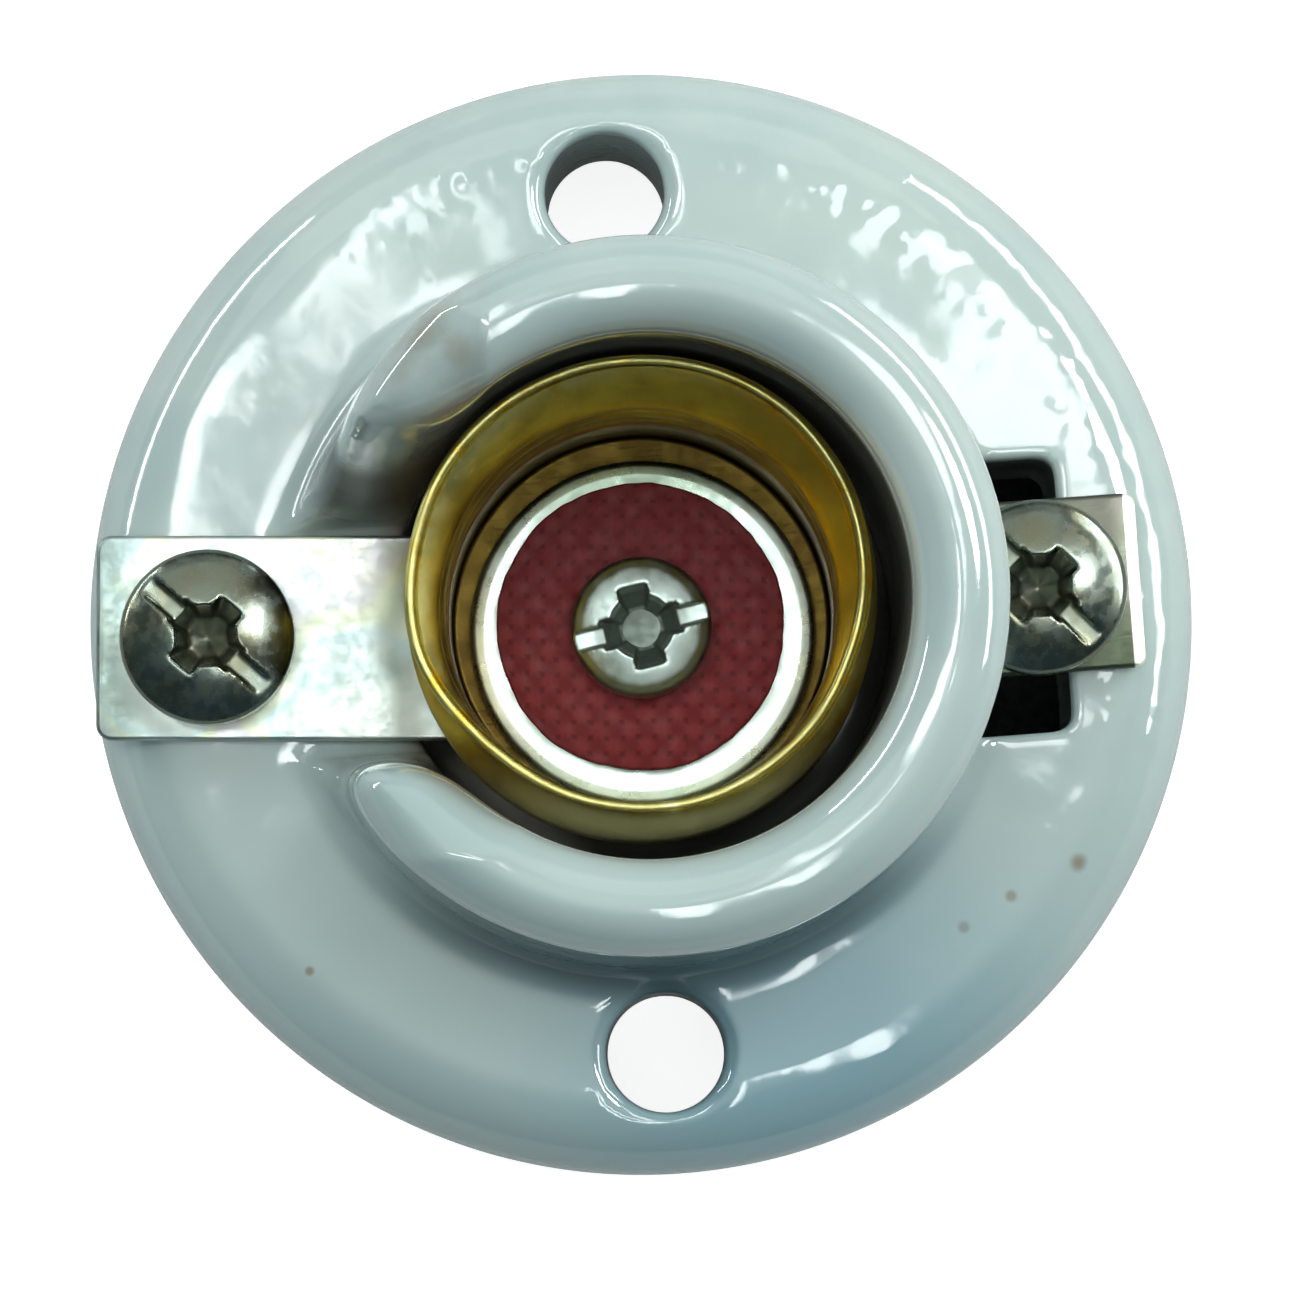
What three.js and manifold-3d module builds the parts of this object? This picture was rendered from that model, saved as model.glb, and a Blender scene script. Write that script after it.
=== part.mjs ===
// Porcelain screw lampholder for a small Edison cap, in millimetres, +Z up, foot plane at z = 0.
import * as THREE from 'three';
import { mergeVertices } from 'three/addons/utils/BufferGeometryUtils.js';
import Module from 'manifold-3d';

// ---------------------------------------------------------------- driving dimensions
// porcelain body
const BASE_R = 18;            // outside radius of the round base
const BASE_H = 10;            // base thickness
const BASE_ROUND = 2.1;       // rounding of the base's upper edge
const COLLAR_TOP = 25.2;      // top of the rounded collar lip
const COLLAR_R = 11.2;        // collar outside radius
const BORE_R = 8.15;          // bore that holds the shell
const SEAT_Z = 5.2;           // floor of the bore
const BOSS_R = 2.2;           // raised boss around the contact screw
const BOSS_Z = 6.1;
const COLLAR_LEAN = 0.02;     // the fired collar leans a little towards +X
const MOUNT_Y = [13.95, -14.05];
const MOUNT_X = -0.2;
const MOUNT_R = 1.95;
const NOTCH_FOOT = [-3.8, 3.6];   // width of the collar notch at the base top
const NOTCH_LIP = [-4.5, 6.1];    // width of the collar notch at the lip
const SLOT_X = [9.75, 13.7];      // slot for the contact strip
const SLOT_Y = [-4.6, 4.3];
const SLOT_TOP = 15.9;            // pocket above the slot, in the collar's outer face
const POCKET_X = [-4.6, 13.7];    // pocket in the underside
const POCKET_TOP = 3.1;
const RELIEF_R = 2.3;             // blind clearance holes under the terminal screws
const RELIEF_FLOOR = 3.6;
const CONTACT_HOLE_R = 1.6;       // hole for the contact screw, through the bore's floor

// screw shell, 14 mm nominal with a 2.822 mm pitch
const PITCH = 2.822;
const CREST_R = 6.2;
const ROOT_R = 7.05;
const WALL = 0.35;
const SHELL_FOOT = 5.9;       // the shell stands on the strap's ring end
const SHELL_TOP = 19;
const THREAD_FROM = 11.1;
const FLANGE_R = 4.95;
const CREST_AT = THREE.MathUtils.degToRad(261);   // where the thread runs out at the rim

// straps and strips
const METAL = 0.7;                // thickness of both terminal straps
const STRAP_TURN = THREE.MathUtils.degToRad(-4.1);
const STRAP_Y = -0.64;            // strap centre line, in its own turned frame
const STRAP_W = 6.62;
const STRAP_END = -17.6;
const STRAP_CURVE = 6.75;         // the tail's inner end is cut round, to clear the shell
const LEG_X = [-7.45, -6.75];     // leg that drops between the shell and the bore
const LEG_HALF = 1.9;
const RING_R = 5.65;
const RING_HOLE = 2.7;
const RING_AT = [0.03, -0.28];
const TAIL_TO = -3.6;             // where the leg's foot runs into the ring
const CLAMP_T = 0.6;              // plated ring that clamps the shell's bottom
const STRIP_W = 5.65;
const STRIP_Y = 0.1;
const STRIP_LEG = 10.65;
const STRIP_FROM = -3.3;
const STRIP_END = 16.2;
const STRIP_HOLE_R = 1.45;
const BEND_R = 0.65;              // bend radius of the contact strip, on its centre line

// insulating disc, contact screw and nut
const DISC_R = 4.74;
const DISC_T = 1.0;
const DISC_HOLE_R = 1.5;
const DISC_AT = [-0.03, -0.12];
const CENTRE_Y = -0.2;
const NUT_AF = 5;
const NUT_H = 2.0;

// terminal screws, 3 mm nominal
const LEFT_SCREW = [-13.95, 0.3];
const RIGHT_SCREW = [12.85, 0];
const HEAD_R = 2.82;
const HEAD_H = 2.2;
const SHANK_R = 1.45;
const TAP_R = 1.5;
const WASHER_T = 0.6;
const SCREW_LENGTH = 7;

// ---------------------------------------------------------------- materials
const skin = (name, color, roughness, metalness) =>
  Object.assign(new THREE.MeshStandardMaterial({ color, roughness, metalness }), { name });
const porcelain = skin('glazed_porcelain', 0xbccdc8, 0.12, 0);
const brass = skin('dull_brass', 0x7c6a24, 0.45, 1);
const zinc = skin('bright_zinc', 0xd6dcd8, 0.3, 1);
const oldZinc = skin('dull_zinc', 0x9b958c, 0.4, 1);
const fabric = skin('fabric_laminate', 0x6e2c30, 0.65, 0);
const steel = skin('screw_steel', 0x6a736c, 0.3, 1);
const nickel = skin('contact_screw_steel', 0x8d9a93, 0.28, 1);

// ---------------------------------------------------------------- solid helpers
const wasm = await Module();
wasm.setup();

function solidOf(geometry) {
  const plain = geometry.clone();
  plain.deleteAttribute('normal');
  plain.deleteAttribute('uv');
  const merged = mergeVertices(plain, 1e-5);
  const index = merged.index.array;
  const points = merged.attributes.position.array;
  const faces = [];
  for (let i = 0; i < index.length; i += 3) {
    const [a, b, c] = [index[i], index[i + 1], index[i + 2]];
    if (a !== b && b !== c && c !== a) faces.push(a, b, c);
  }
  let volume = 0;
  const at = (i) => new THREE.Vector3(points[3 * i], points[3 * i + 1], points[3 * i + 2]);
  for (let i = 0; i < faces.length; i += 3) {
    volume += at(faces[i]).dot(at(faces[i + 1]).cross(at(faces[i + 2])));
  }
  if (volume < 0) {
    for (let i = 0; i < faces.length; i += 3) [faces[i], faces[i + 1]] = [faces[i + 1], faces[i]];
  }
  return new wasm.Manifold(new wasm.Mesh({
    numProp: 3,
    vertProperties: Float32Array.from(points),
    triVerts: Uint32Array.from(faces),
  }));
}

function meshOf(name, solid, material, bend) {
  const data = solid.getMesh();
  const points = new Float32Array(data.numVert * 3);
  for (let i = 0; i < data.numVert; i++) {
    for (let k = 0; k < 3; k++) points[3 * i + k] = data.vertProperties[i * data.numProp + k];
    if (bend) bend(points, 3 * i);
  }
  const geometry = new THREE.BufferGeometry();
  geometry.setAttribute('position', new THREE.BufferAttribute(points, 3));
  geometry.setIndex(new THREE.BufferAttribute(Uint32Array.from(data.triVerts), 1));
  geometry.computeVertexNormals();
  const mesh = new THREE.Mesh(geometry, material);
  mesh.name = name;
  return mesh;
}

// a profile of [radius, z] turned about an upright axis through (x, y)
function turned(profile, segments, x = 0, y = 0) {
  const points = profile.map(([r, z]) => new THREE.Vector2(r, z));
  const geometry = new THREE.LatheGeometry(points, segments);
  geometry.rotateX(Math.PI / 2);
  geometry.translate(x, y, 0);
  return solidOf(geometry);
}

const rod = (r, z0, z1, x = 0, y = 0, segments = 32) =>
  turned([[0, z0], [r, z0], [r, z1], [0, z1]], segments, x, y);

const washer = (inner, outer, z0, z1, x = 0, y = 0, segments = 48) =>
  turned([[inner, z0], [outer, z0], [outer, z1], [inner, z1], [inner, z0]], segments, x, y);

// an upright prism on a rectangle with rounded corners
function block(x0, x1, y0, y1, z0, z1, round = 0) {
  const shape = new THREE.Shape();
  if (round > 0) {
    shape.moveTo(x0 + round, y0);
    shape.lineTo(x1 - round, y0);
    shape.absarc(x1 - round, y0 + round, round, -Math.PI / 2, 0, false);
    shape.absarc(x1 - round, y1 - round, round, 0, Math.PI / 2, false);
    shape.absarc(x0 + round, y1 - round, round, Math.PI / 2, Math.PI, false);
    shape.absarc(x0 + round, y0 + round, round, Math.PI, 1.5 * Math.PI, false);
  } else {
    shape.moveTo(x0, y0);
    shape.lineTo(x1, y0);
    shape.lineTo(x1, y1);
    shape.lineTo(x0, y1);
    shape.closePath();
  }
  const geometry = new THREE.ExtrudeGeometry(shape, {
    depth: z1 - z0, bevelEnabled: false, curveSegments: 5,
  });
  geometry.translate(0, 0, z0);
  return solidOf(geometry);
}

// a block whose top and bottom rectangles differ
function tapered(low, high, z0, z1) {
  const geometry = new THREE.BoxGeometry(1, 1, 1);
  const position = geometry.attributes.position;
  for (let i = 0; i < position.count; i++) {
    const top = position.getZ(i) > 0;
    const [x0, x1, y0, y1] = top ? high : low;
    position.setXYZ(
      i,
      position.getX(i) > 0 ? x1 : x0,
      position.getY(i) > 0 ? y1 : y0,
      top ? z1 : z0,
    );
  }
  return solidOf(geometry);
}

// sheet metal bent along a line of [x, z] points, as wide as y0 to y1
function bentStrip(line, thickness, radius, y0, y1) {
  const middle = [];
  line.forEach(([x, z], i) => {
    if (i === 0 || i === line.length - 1) {
      middle.push(new THREE.Vector2(x, z));
      return;
    }
    const corner = new THREE.Vector2(x, z);
    const into = corner.clone().sub(new THREE.Vector2(...line[i - 1])).normalize();
    const out = new THREE.Vector2(...line[i + 1]).sub(corner).normalize();
    const a = corner.clone().addScaledVector(into, -radius);
    const b = corner.clone().addScaledVector(out, radius);
    const centre = a.clone().addScaledVector(out, radius);
    for (let k = 0; k <= 5; k++) {
      const t = (k / 5) * Math.PI / 2;
      middle.push(centre.clone()
        .addScaledVector(out, -radius * Math.cos(t))
        .addScaledVector(into, radius * Math.sin(t)));
    }
    middle[middle.length - 1].copy(b);
  });
  const sides = [[], []];
  middle.forEach((p, i) => {
    const before = middle[Math.max(i - 1, 0)];
    const after = middle[Math.min(i + 1, middle.length - 1)];
    const d = after.clone().sub(before).normalize();
    sides[0].push(new THREE.Vector2(p.x - d.y * thickness / 2, p.y + d.x * thickness / 2));
    sides[1].push(new THREE.Vector2(p.x + d.y * thickness / 2, p.y - d.x * thickness / 2));
  });
  const shape = new THREE.Shape([...sides[0], ...sides[1].reverse()]);
  const geometry = new THREE.ExtrudeGeometry(shape, { depth: y1 - y0, bevelEnabled: false });
  geometry.rotateX(Math.PI / 2);
  geometry.translate(0, y1, 0);
  return solidOf(geometry);
}

function arc(cx, cz, r, from, to, steps) {
  const out = [];
  for (let i = 0; i <= steps; i++) {
    const a = THREE.MathUtils.degToRad(from + (to - from) * i / steps);
    out.push([cx + r * Math.cos(a), cz + r * Math.sin(a)]);
  }
  return out;
}

// ---------------------------------------------------------------- porcelain body
function porcelainBody() {
  const lip = (COLLAR_R - BORE_R) / 2;
  const profile = [
    [0, BOSS_Z], [BOSS_R, BOSS_Z], [BOSS_R, SEAT_Z], [BORE_R, SEAT_Z],
    [BORE_R, 14],
    ...arc(BORE_R + lip, COLLAR_TOP - lip, lip, 180, 0, 8),
    [COLLAR_R + 0.05, 17], [COLLAR_R + 0.1, 11.2],
    ...arc(COLLAR_R + 1.15, 11.05, 1.05, 190, 270, 3),
    ...arc(BASE_R - BASE_ROUND, BASE_H - BASE_ROUND, BASE_ROUND, 90, 0, 4),
    [BASE_R, 1], [BASE_R - 0.25, 0.3], [BASE_R - 0.75, 0], [0, 0],
  ];
  let body = turned(profile, 64);
  for (const y of MOUNT_Y) {
    const tool = [
      [0, -1], [MOUNT_R + 0.3, -1], [MOUNT_R + 0.3, 0], [MOUNT_R + 0.06, 0.25], [MOUNT_R, 0.6],
      [MOUNT_R, BASE_H - 0.5], [MOUNT_R + 0.07, BASE_H - 0.2], [MOUNT_R + 0.25, BASE_H],
      [MOUNT_R + 0.25, BASE_H + 2], [0, BASE_H + 2],
    ];
    body = body.subtract(turned(tool, 32, MOUNT_X, y));
  }
  body = body.subtract(tapered(
    [-13.5, -6, ...NOTCH_FOOT], [-13.5, -6, ...NOTCH_LIP], BASE_H, COLLAR_TOP + 1,
  ));
  body = body.subtract(block(...SLOT_X, ...SLOT_Y, -1, SLOT_TOP, 0.5));
  body = body.subtract(block(...POCKET_X, ...SLOT_Y, -1, POCKET_TOP, 0.8));
  body = body.subtract(rod(RELIEF_R, RELIEF_FLOOR, BASE_H + 0.001, ...RIGHT_SCREW, 24));
  body = body.subtract(rod(RELIEF_R, RELIEF_FLOOR, BASE_H + 1, ...LEFT_SCREW, 24));
  body = body.subtract(rod(CONTACT_HOLE_R, POCKET_TOP - 1, BOSS_Z + 1, 0, CENTRE_Y / 2, 24));
  return meshOf('porcelain_body', body, porcelain, (p, i) => {
    p[i] += COLLAR_LEAN * Math.max(p[i + 2] - BASE_H, 0);
  });
}

// ---------------------------------------------------------------- screw shell
const smooth = (t) => {
  const u = Math.min(Math.max(t, 0), 1);
  return u * u * (3 - 2 * u);
};

// inside radius of the rolled sheet at one bearing and height
function shellRadius(angle, z) {
  const phase = (z - SHELL_TOP) / PITCH - (angle - CREST_AT) / (2 * Math.PI);
  const grown = smooth((z - THREAD_FROM) / 1.1);
  const thread = 0.5 - 0.5 * Math.cos(2 * Math.PI * phase);
  const turn = THREE.MathUtils.euclideanModulo(THREE.MathUtils.radToDeg(angle), 360);
  const open = turn < 180
    ? smooth((turn + 25) / 70)
    : Math.max(1 - smooth((turn - 184) / 40), smooth((turn - 335) / 70));
  const flare = 0.48 * open * smooth((z - SHELL_TOP + 1.5) / 1.5) ** 2;
  return CREST_R + (ROOT_R - CREST_R) * grown * thread + flare;
}

function screwShell() {
  const around = 40;
  const levels = [6.7, 8.5, 10.4, THREAD_FROM];
  for (let z = THREAD_FROM + 0.39; z < SHELL_TOP - 0.2; z += 0.56) levels.push(z);
  const loopAt = (angle) => {
    const loop = [[FLANGE_R, SHELL_FOOT + WALL], [CREST_R - 0.25, SHELL_FOOT + WALL]];
    loop.push([CREST_R - 0.07, SHELL_FOOT + WALL + 0.07]);
    levels.forEach((z) => loop.push([shellRadius(angle, z), z]));
    loop.push([shellRadius(angle, SHELL_TOP) + 0.05, SHELL_TOP]);
    loop.push([shellRadius(angle, SHELL_TOP) + WALL - 0.05, SHELL_TOP]);
    [...levels].reverse().forEach((z) => loop.push([shellRadius(angle, z) + WALL, z]));
    loop.push([CREST_R + WALL - 0.1, SHELL_FOOT + 0.15]);
    loop.push([CREST_R + WALL - 0.3, SHELL_FOOT]);
    loop.push([FLANGE_R, SHELL_FOOT]);
    return loop;
  };
  const count = loopAt(0).length;
  const points = [];
  const index = [];
  for (let j = 0; j < around; j++) {
    const angle = 2 * Math.PI * j / around;
    loopAt(angle).forEach(([r, z]) => points.push(r * Math.cos(angle), r * Math.sin(angle), z));
    for (let i = 0; i < count; i++) {
      const a = j * count + i;
      const b = j * count + (i + 1) % count;
      const c = ((j + 1) % around) * count + i;
      const d = ((j + 1) % around) * count + (i + 1) % count;
      index.push(a, c, b, b, c, d);
    }
  }
  const geometry = new THREE.BufferGeometry();
  geometry.setAttribute('position', new THREE.Float32BufferAttribute(points, 3));
  geometry.setIndex(index);
  return meshOf('screw_shell', solidOf(geometry), brass);
}

// ---------------------------------------------------------------- terminal straps
function shellTerminalStrap() {
  const edges = [STRAP_Y - STRAP_W / 2, STRAP_Y + STRAP_W / 2];
  const legEdges = [STRAP_Y - LEG_HALF, STRAP_Y + LEG_HALF];
  let strap = block(STRAP_END, -5.2, ...edges, BASE_H, BASE_H + METAL, 0.5)
    .subtract(rod(STRAP_CURVE, BASE_H - 1, BASE_H + 2, 0, 0, 64));
  strap = strap.add(block(...LEG_X, ...legEdges, SEAT_Z, BASE_H + METAL));
  strap = strap.add(block(LEG_X[0], TAIL_TO, ...legEdges, SEAT_Z, SEAT_Z + METAL));
  strap = strap.add(washer(2.5, RING_R, SEAT_Z, SEAT_Z + METAL, ...RING_AT, 64));
  strap = strap.subtract(rod(RING_HOLE, 0, 9, ...RING_AT, 40));
  strap = strap.rotate([0, 0, THREE.MathUtils.radToDeg(STRAP_TURN)]);
  strap = strap.add(rod(TAP_R + 0.5, BASE_H - 0.7, BASE_H + 0.2, ...LEFT_SCREW, 24));
  strap = strap.subtract(rod(TAP_R, 5, 15, ...LEFT_SCREW, 24));
  return meshOf('shell_terminal_strap', strap, zinc);
}

function clampingRing() {
  const z = SHELL_FOOT + WALL;
  const profile = [
    [RING_HOLE, z], [RING_R, z], [RING_R, z + CLAMP_T - 0.2], [RING_R - 0.06, z + CLAMP_T - 0.06],
    [RING_R - 0.2, z + CLAMP_T], [RING_HOLE, z + CLAMP_T], [RING_HOLE, z],
  ];
  return meshOf('clamping_ring', turned(profile, 64, ...RING_AT), zinc);
}

function contactStrip() {
  const low = POCKET_TOP - METAL / 2;
  const high = BASE_H + METAL / 2;
  const line = [[STRIP_FROM, low], [STRIP_LEG, low], [STRIP_LEG, high], [STRIP_END, high]];
  const edges = [STRIP_Y - STRIP_W / 2, STRIP_Y + STRIP_W / 2];
  let strip = bentStrip(line, METAL, BEND_R, ...edges);
  strip = strip.intersect(block(STRIP_FROM, STRIP_END, ...edges, 0, 20, 0.3));
  strip = strip.add(rod(TAP_R + 0.5, BASE_H - 0.7, BASE_H + 0.2, ...RIGHT_SCREW, 24));
  strip = strip.subtract(rod(TAP_R, 5, 15, ...RIGHT_SCREW, 24));
  strip = strip.subtract(rod(STRIP_HOLE_R, 0, 5, 0, CENTRE_Y, 24));
  return meshOf('contact_strip', strip, oldZinc);
}

// ---------------------------------------------------------------- screws, washers, nut
// pan head with a cross recess and a slot through it, head resting at z
function panScrew(name, [x, y], z, head, slotAngle, material) {
  const { r, h, shank, length, cross, slot } = head;
  const profile = [
    [0, z - length], [shank - 0.25, z - length], [shank, z - length + 0.3], [shank, z],
    [r - 0.05, z], [r, z + 0.12 * h], [r, z + 0.32 * h], [r * 0.955, z + 0.56 * h],
    [r * 0.85, z + 0.77 * h], [r * 0.68, z + 0.91 * h], [r * 0.45, z + 0.98 * h], [0, z + h],
  ];
  let screw = turned(profile, 32);
  const top = z + h + 0.3;
  const deep = z + h - cross.depth;
  for (const turn of [0, 90]) {
    screw = screw.subtract(tapered(
      [-cross.reach * 0.45, cross.reach * 0.45, -cross.wide * 0.7, cross.wide * 0.7],
      [-cross.reach * 1.08, cross.reach * 1.08, -cross.wide * 1.06, cross.wide * 1.06],
      deep, top,
    ).rotate([0, 0, turn]));
  }
  screw = screw.subtract(block(-4, 4, -slot.wide, slot.wide, z + h - slot.depth, top));
  screw = screw.rotate([0, 0, slotAngle]).translate([x, y, 0]);
  return meshOf(name, screw, material);
}

const terminalHead = {
  r: HEAD_R, h: HEAD_H, shank: SHANK_R, length: SCREW_LENGTH,
  cross: { reach: 1.42, wide: 0.42, depth: 1.6 }, slot: { wide: 0.38, depth: 0.75 },
};
const contactHead = {
  r: 2.3, h: 1.8, shank: 1.25, length: 7.6,
  cross: { reach: 1.35, wide: 0.4, depth: 1.35 }, slot: { wide: 0.34, depth: 0.6 },
};

function insulatingDisc() {
  const z = SHELL_FOOT + WALL + CLAMP_T;
  return meshOf('insulating_disc', washer(DISC_HOLE_R, DISC_R, z, z + DISC_T, ...DISC_AT, 60), fabric);
}

function contactNut() {
  const z = POCKET_TOP - METAL;
  const shape = new THREE.Shape();
  for (let i = 0; i < 6; i++) {
    const a = THREE.MathUtils.degToRad(30 + 60 * i);
    const r = NUT_AF / 2 / Math.cos(Math.PI / 6);
    shape[i ? 'lineTo' : 'moveTo'](r * Math.cos(a), r * Math.sin(a));
  }
  shape.closePath();
  const geometry = new THREE.ExtrudeGeometry(shape, { depth: NUT_H, bevelEnabled: false });
  geometry.translate(0, CENTRE_Y, z - NUT_H);
  const face = turned([
    [0, z - NUT_H], [NUT_AF / 2, z - NUT_H], [NUT_AF * 0.6, z - NUT_H + 0.35],
    [NUT_AF * 0.6, z], [0, z],
  ], 36, 0, CENTRE_Y);
  const nut = solidOf(geometry).intersect(face).subtract(rod(1.3, 0, 5, 0, CENTRE_Y, 24));
  return meshOf('contact_nut', nut, oldZinc);
}

function terminalWasher(name, [x, y]) {
  const z = BASE_H + METAL;
  return meshOf(name, washer(TAP_R + 0.1, HEAD_R - 0.02, z, z + WASHER_T, x, y, 40), steel);
}

// ---------------------------------------------------------------- the assembly
const group = new THREE.Group();
group.name = 'porcelain_lampholder';
const headZ = BASE_H + METAL + WASHER_T;
const contactZ = SHELL_FOOT + WALL + CLAMP_T + DISC_T;
group.add(
  porcelainBody(),
  screwShell(),
  shellTerminalStrap(),
  clampingRing(),
  insulatingDisc(),
  panScrew('contact_screw', [0, CENTRE_Y], contactZ, contactHead, 10, nickel),
  contactStrip(),
  contactNut(),
  terminalWasher('left_terminal_washer', LEFT_SCREW),
  panScrew('left_terminal_screw', LEFT_SCREW, headZ, terminalHead, -45, steel),
  terminalWasher('right_terminal_washer', RIGHT_SCREW),
  panScrew('right_terminal_screw', RIGHT_SCREW, headZ, terminalHead, -48, steel),
);

export default group;
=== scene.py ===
# %% [markdown]
# # A small porcelain lampholder
# The object is a round glazed base with a thick collar. A rolled brass screw shell sits in the collar,
# a dark red laminate disc lies on its floor, and a screw through the disc is the lamp's centre contact.
# Two plated straps bring the current out to a terminal screw on each side.
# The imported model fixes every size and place. The cells below make finer meshes for the same pieces,
# hang each one on the body that carries it, and give it a finish.

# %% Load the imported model
import math

import bmesh
import bpy
import numpy as np
from mathutils import Matrix, Vector, noise


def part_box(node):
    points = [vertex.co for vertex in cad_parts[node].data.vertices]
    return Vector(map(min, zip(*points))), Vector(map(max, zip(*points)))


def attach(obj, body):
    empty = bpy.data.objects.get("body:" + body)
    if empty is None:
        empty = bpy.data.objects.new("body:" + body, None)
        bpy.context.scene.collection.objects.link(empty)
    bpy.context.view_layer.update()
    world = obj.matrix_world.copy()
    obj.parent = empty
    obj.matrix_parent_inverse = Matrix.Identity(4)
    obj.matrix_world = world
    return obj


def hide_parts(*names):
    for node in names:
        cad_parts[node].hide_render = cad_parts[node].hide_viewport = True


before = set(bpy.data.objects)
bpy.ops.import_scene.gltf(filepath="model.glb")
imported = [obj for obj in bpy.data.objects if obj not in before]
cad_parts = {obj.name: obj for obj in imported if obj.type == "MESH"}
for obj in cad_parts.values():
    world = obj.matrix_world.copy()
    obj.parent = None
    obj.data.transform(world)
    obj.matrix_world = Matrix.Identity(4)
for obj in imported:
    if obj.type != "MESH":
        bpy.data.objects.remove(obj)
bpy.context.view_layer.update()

# %% [markdown]
# Small hardware is easier to think about in millimetres, and the voxel remesher can't go below a tenth
# of a millimetre when a unit is a metre. So every mesh is built with one unit to the millimetre, and is
# scaled to metres when the piece is finished.
# Both straps are 0.7 mm strip. The left one lies flat on the base, so its upper face gives the height
# of the base's top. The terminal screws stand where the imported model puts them.

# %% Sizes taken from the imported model, in millimetres
MM = 0.001
METAL = 0.7


def box_mm(node):
    low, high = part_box(node)
    return low / MM, high / MM


def centre_mm(node):
    low, high = box_mm(node)
    return (low.x + high.x) / 2, (low.y + high.y) / 2


body_low, body_high = box_mm("porcelain_body")
shell_low, shell_high = box_mm("screw_shell")
disc_low, disc_high = box_mm("insulating_disc")
strap_low, strap_high = box_mm("shell_terminal_strap")
strip_low, strip_high = box_mm("contact_strip")
ring_low, ring_high = box_mm("clamping_ring")

BASE_R = (body_high.y - body_low.y) / 2
COLLAR_TOP = body_high.z
SHELL_TOP = shell_high.z
BORE_FLOOR = strap_low.z
SHELL_FOOT = shell_low.z
BASE_TOP = strap_high.z - METAL
LEFT_SCREW = centre_mm("left_terminal_screw")
RIGHT_SCREW = centre_mm("right_terminal_screw")
CONTACT_SCREW = centre_mm("contact_screw")
print(f"base radius {BASE_R:.2f}, base top {BASE_TOP:.2f}, collar top {COLLAR_TOP:.2f}")
print("screws at", LEFT_SCREW, RIGHT_SCREW, CONTACT_SCREW)

# %% [markdown]
# Most pieces are turned, pressed from strip, or cut. A few mesh helpers cover them: an outline with
# rounded corners, a profile turned about an upright axis, an upright prism, a wedge for cutters, and a
# way to settle modifiers into the mesh. Bevel and screw modifiers could make some of these shapes, but
# a profile written as points keeps each radius and level where it can be read.

# %% Outline helper
def eased(corners, closed=False, steps=6):
    """Rounds each (x, y, radius) corner of an outline by an arc, and returns plain points."""
    out = []
    count = len(corners)
    for i, (x, y, radius) in enumerate(corners):
        if radius == 0 or (not closed and i in (0, count - 1)):
            out.append((x, y))
            continue
        here = Vector((x, y))
        back = Vector(corners[i - 1][:2]) - here
        ahead = Vector(corners[(i + 1) % count][:2]) - here
        half = back.angle(ahead) / 2
        reach = min(radius / math.tan(half), back.length * 0.49, ahead.length * 0.49)
        back.normalize()
        ahead.normalize()
        centre = here + (back + ahead).normalized() * reach / math.cos(half)
        start = here + back * reach - centre
        end = here + ahead * reach - centre
        sweep = math.atan2(start.x * end.y - start.y * end.x, start.dot(end))
        for k in range(steps + 1):
            a = sweep * k / steps
            out.append((
                centre.x + start.x * math.cos(a) - start.y * math.sin(a),
                centre.y + start.x * math.sin(a) + start.y * math.cos(a),
            ))
    return out


# %% Solid helpers
def body_of_faces(points, faces):
    """A loose object of these points in millimetres, with its normals facing out."""
    mesh = bpy.data.meshes.new("work")
    mesh.from_pydata([Vector(p) for p in points], [], faces)
    work = bmesh.new()
    work.from_mesh(mesh)
    bmesh.ops.remove_doubles(work, verts=work.verts, dist=1e-5)
    bmesh.ops.recalc_face_normals(work, faces=work.faces)
    work.to_mesh(mesh)
    work.free()
    made = bpy.data.objects.new("work", mesh)
    bpy.context.scene.collection.objects.link(made)
    return made


def turned(profile, segments=128, centre=(0, 0), closed=False):
    """A profile of (radius, z) turned about an upright axis."""
    points, faces, rows = [], [], []
    for r, z in profile:
        around = 1 if r < 1e-6 else segments
        rows.append([len(points) + k for k in range(around)])
        for k in range(around):
            a = 2 * math.pi * k / segments
            points.append((centre[0] + r * math.cos(a), centre[1] + r * math.sin(a), z))
    pairs = list(zip(rows, rows[1:])) + ([(rows[-1], rows[0])] if closed else [])
    for low, high in pairs:
        for k in range(segments):
            n = (k + 1) % segments
            quad = [low[k % len(low)], low[n % len(low)], high[n % len(high)], high[k % len(high)]]
            corners = list(dict.fromkeys(quad))
            if len(corners) > 2:
                faces.append(corners)
    return body_of_faces(points, faces)


def prism(outline, z0, z1):
    """An upright solid between two heights, from an outline of (x, y) points."""
    count = len(outline)
    points = [(x, y, z0) for x, y in outline] + [(x, y, z1) for x, y in outline]
    faces = [list(range(count)), list(range(count, 2 * count))]
    for k in range(count):
        n = (k + 1) % count
        faces.append([k, n, count + n, count + k])
    return body_of_faces(points, faces)


def rectangle(x0, x1, y0, y1, radius):
    return eased([(x0, y0, radius), (x1, y0, radius), (x1, y1, radius), (x0, y1, radius)], True)


def wedge(low, high, z0, z1, turn=0.0):
    """A block whose lower and upper rectangles (x0, x1, y0, y1) differ."""
    points = []
    for (x0, x1, y0, y1), z in ((low, z0), (high, z1)):
        for x, y in ((x0, y0), (x1, y0), (x1, y1), (x0, y1)):
            points.append((
                x * math.cos(turn) - y * math.sin(turn),
                x * math.sin(turn) + y * math.cos(turn),
                z,
            ))
    faces = [[0, 1, 2, 3], [4, 5, 6, 7], [0, 1, 5, 4], [1, 2, 6, 5], [2, 3, 7, 6], [3, 0, 4, 7]]
    return body_of_faces(points, faces)


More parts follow.
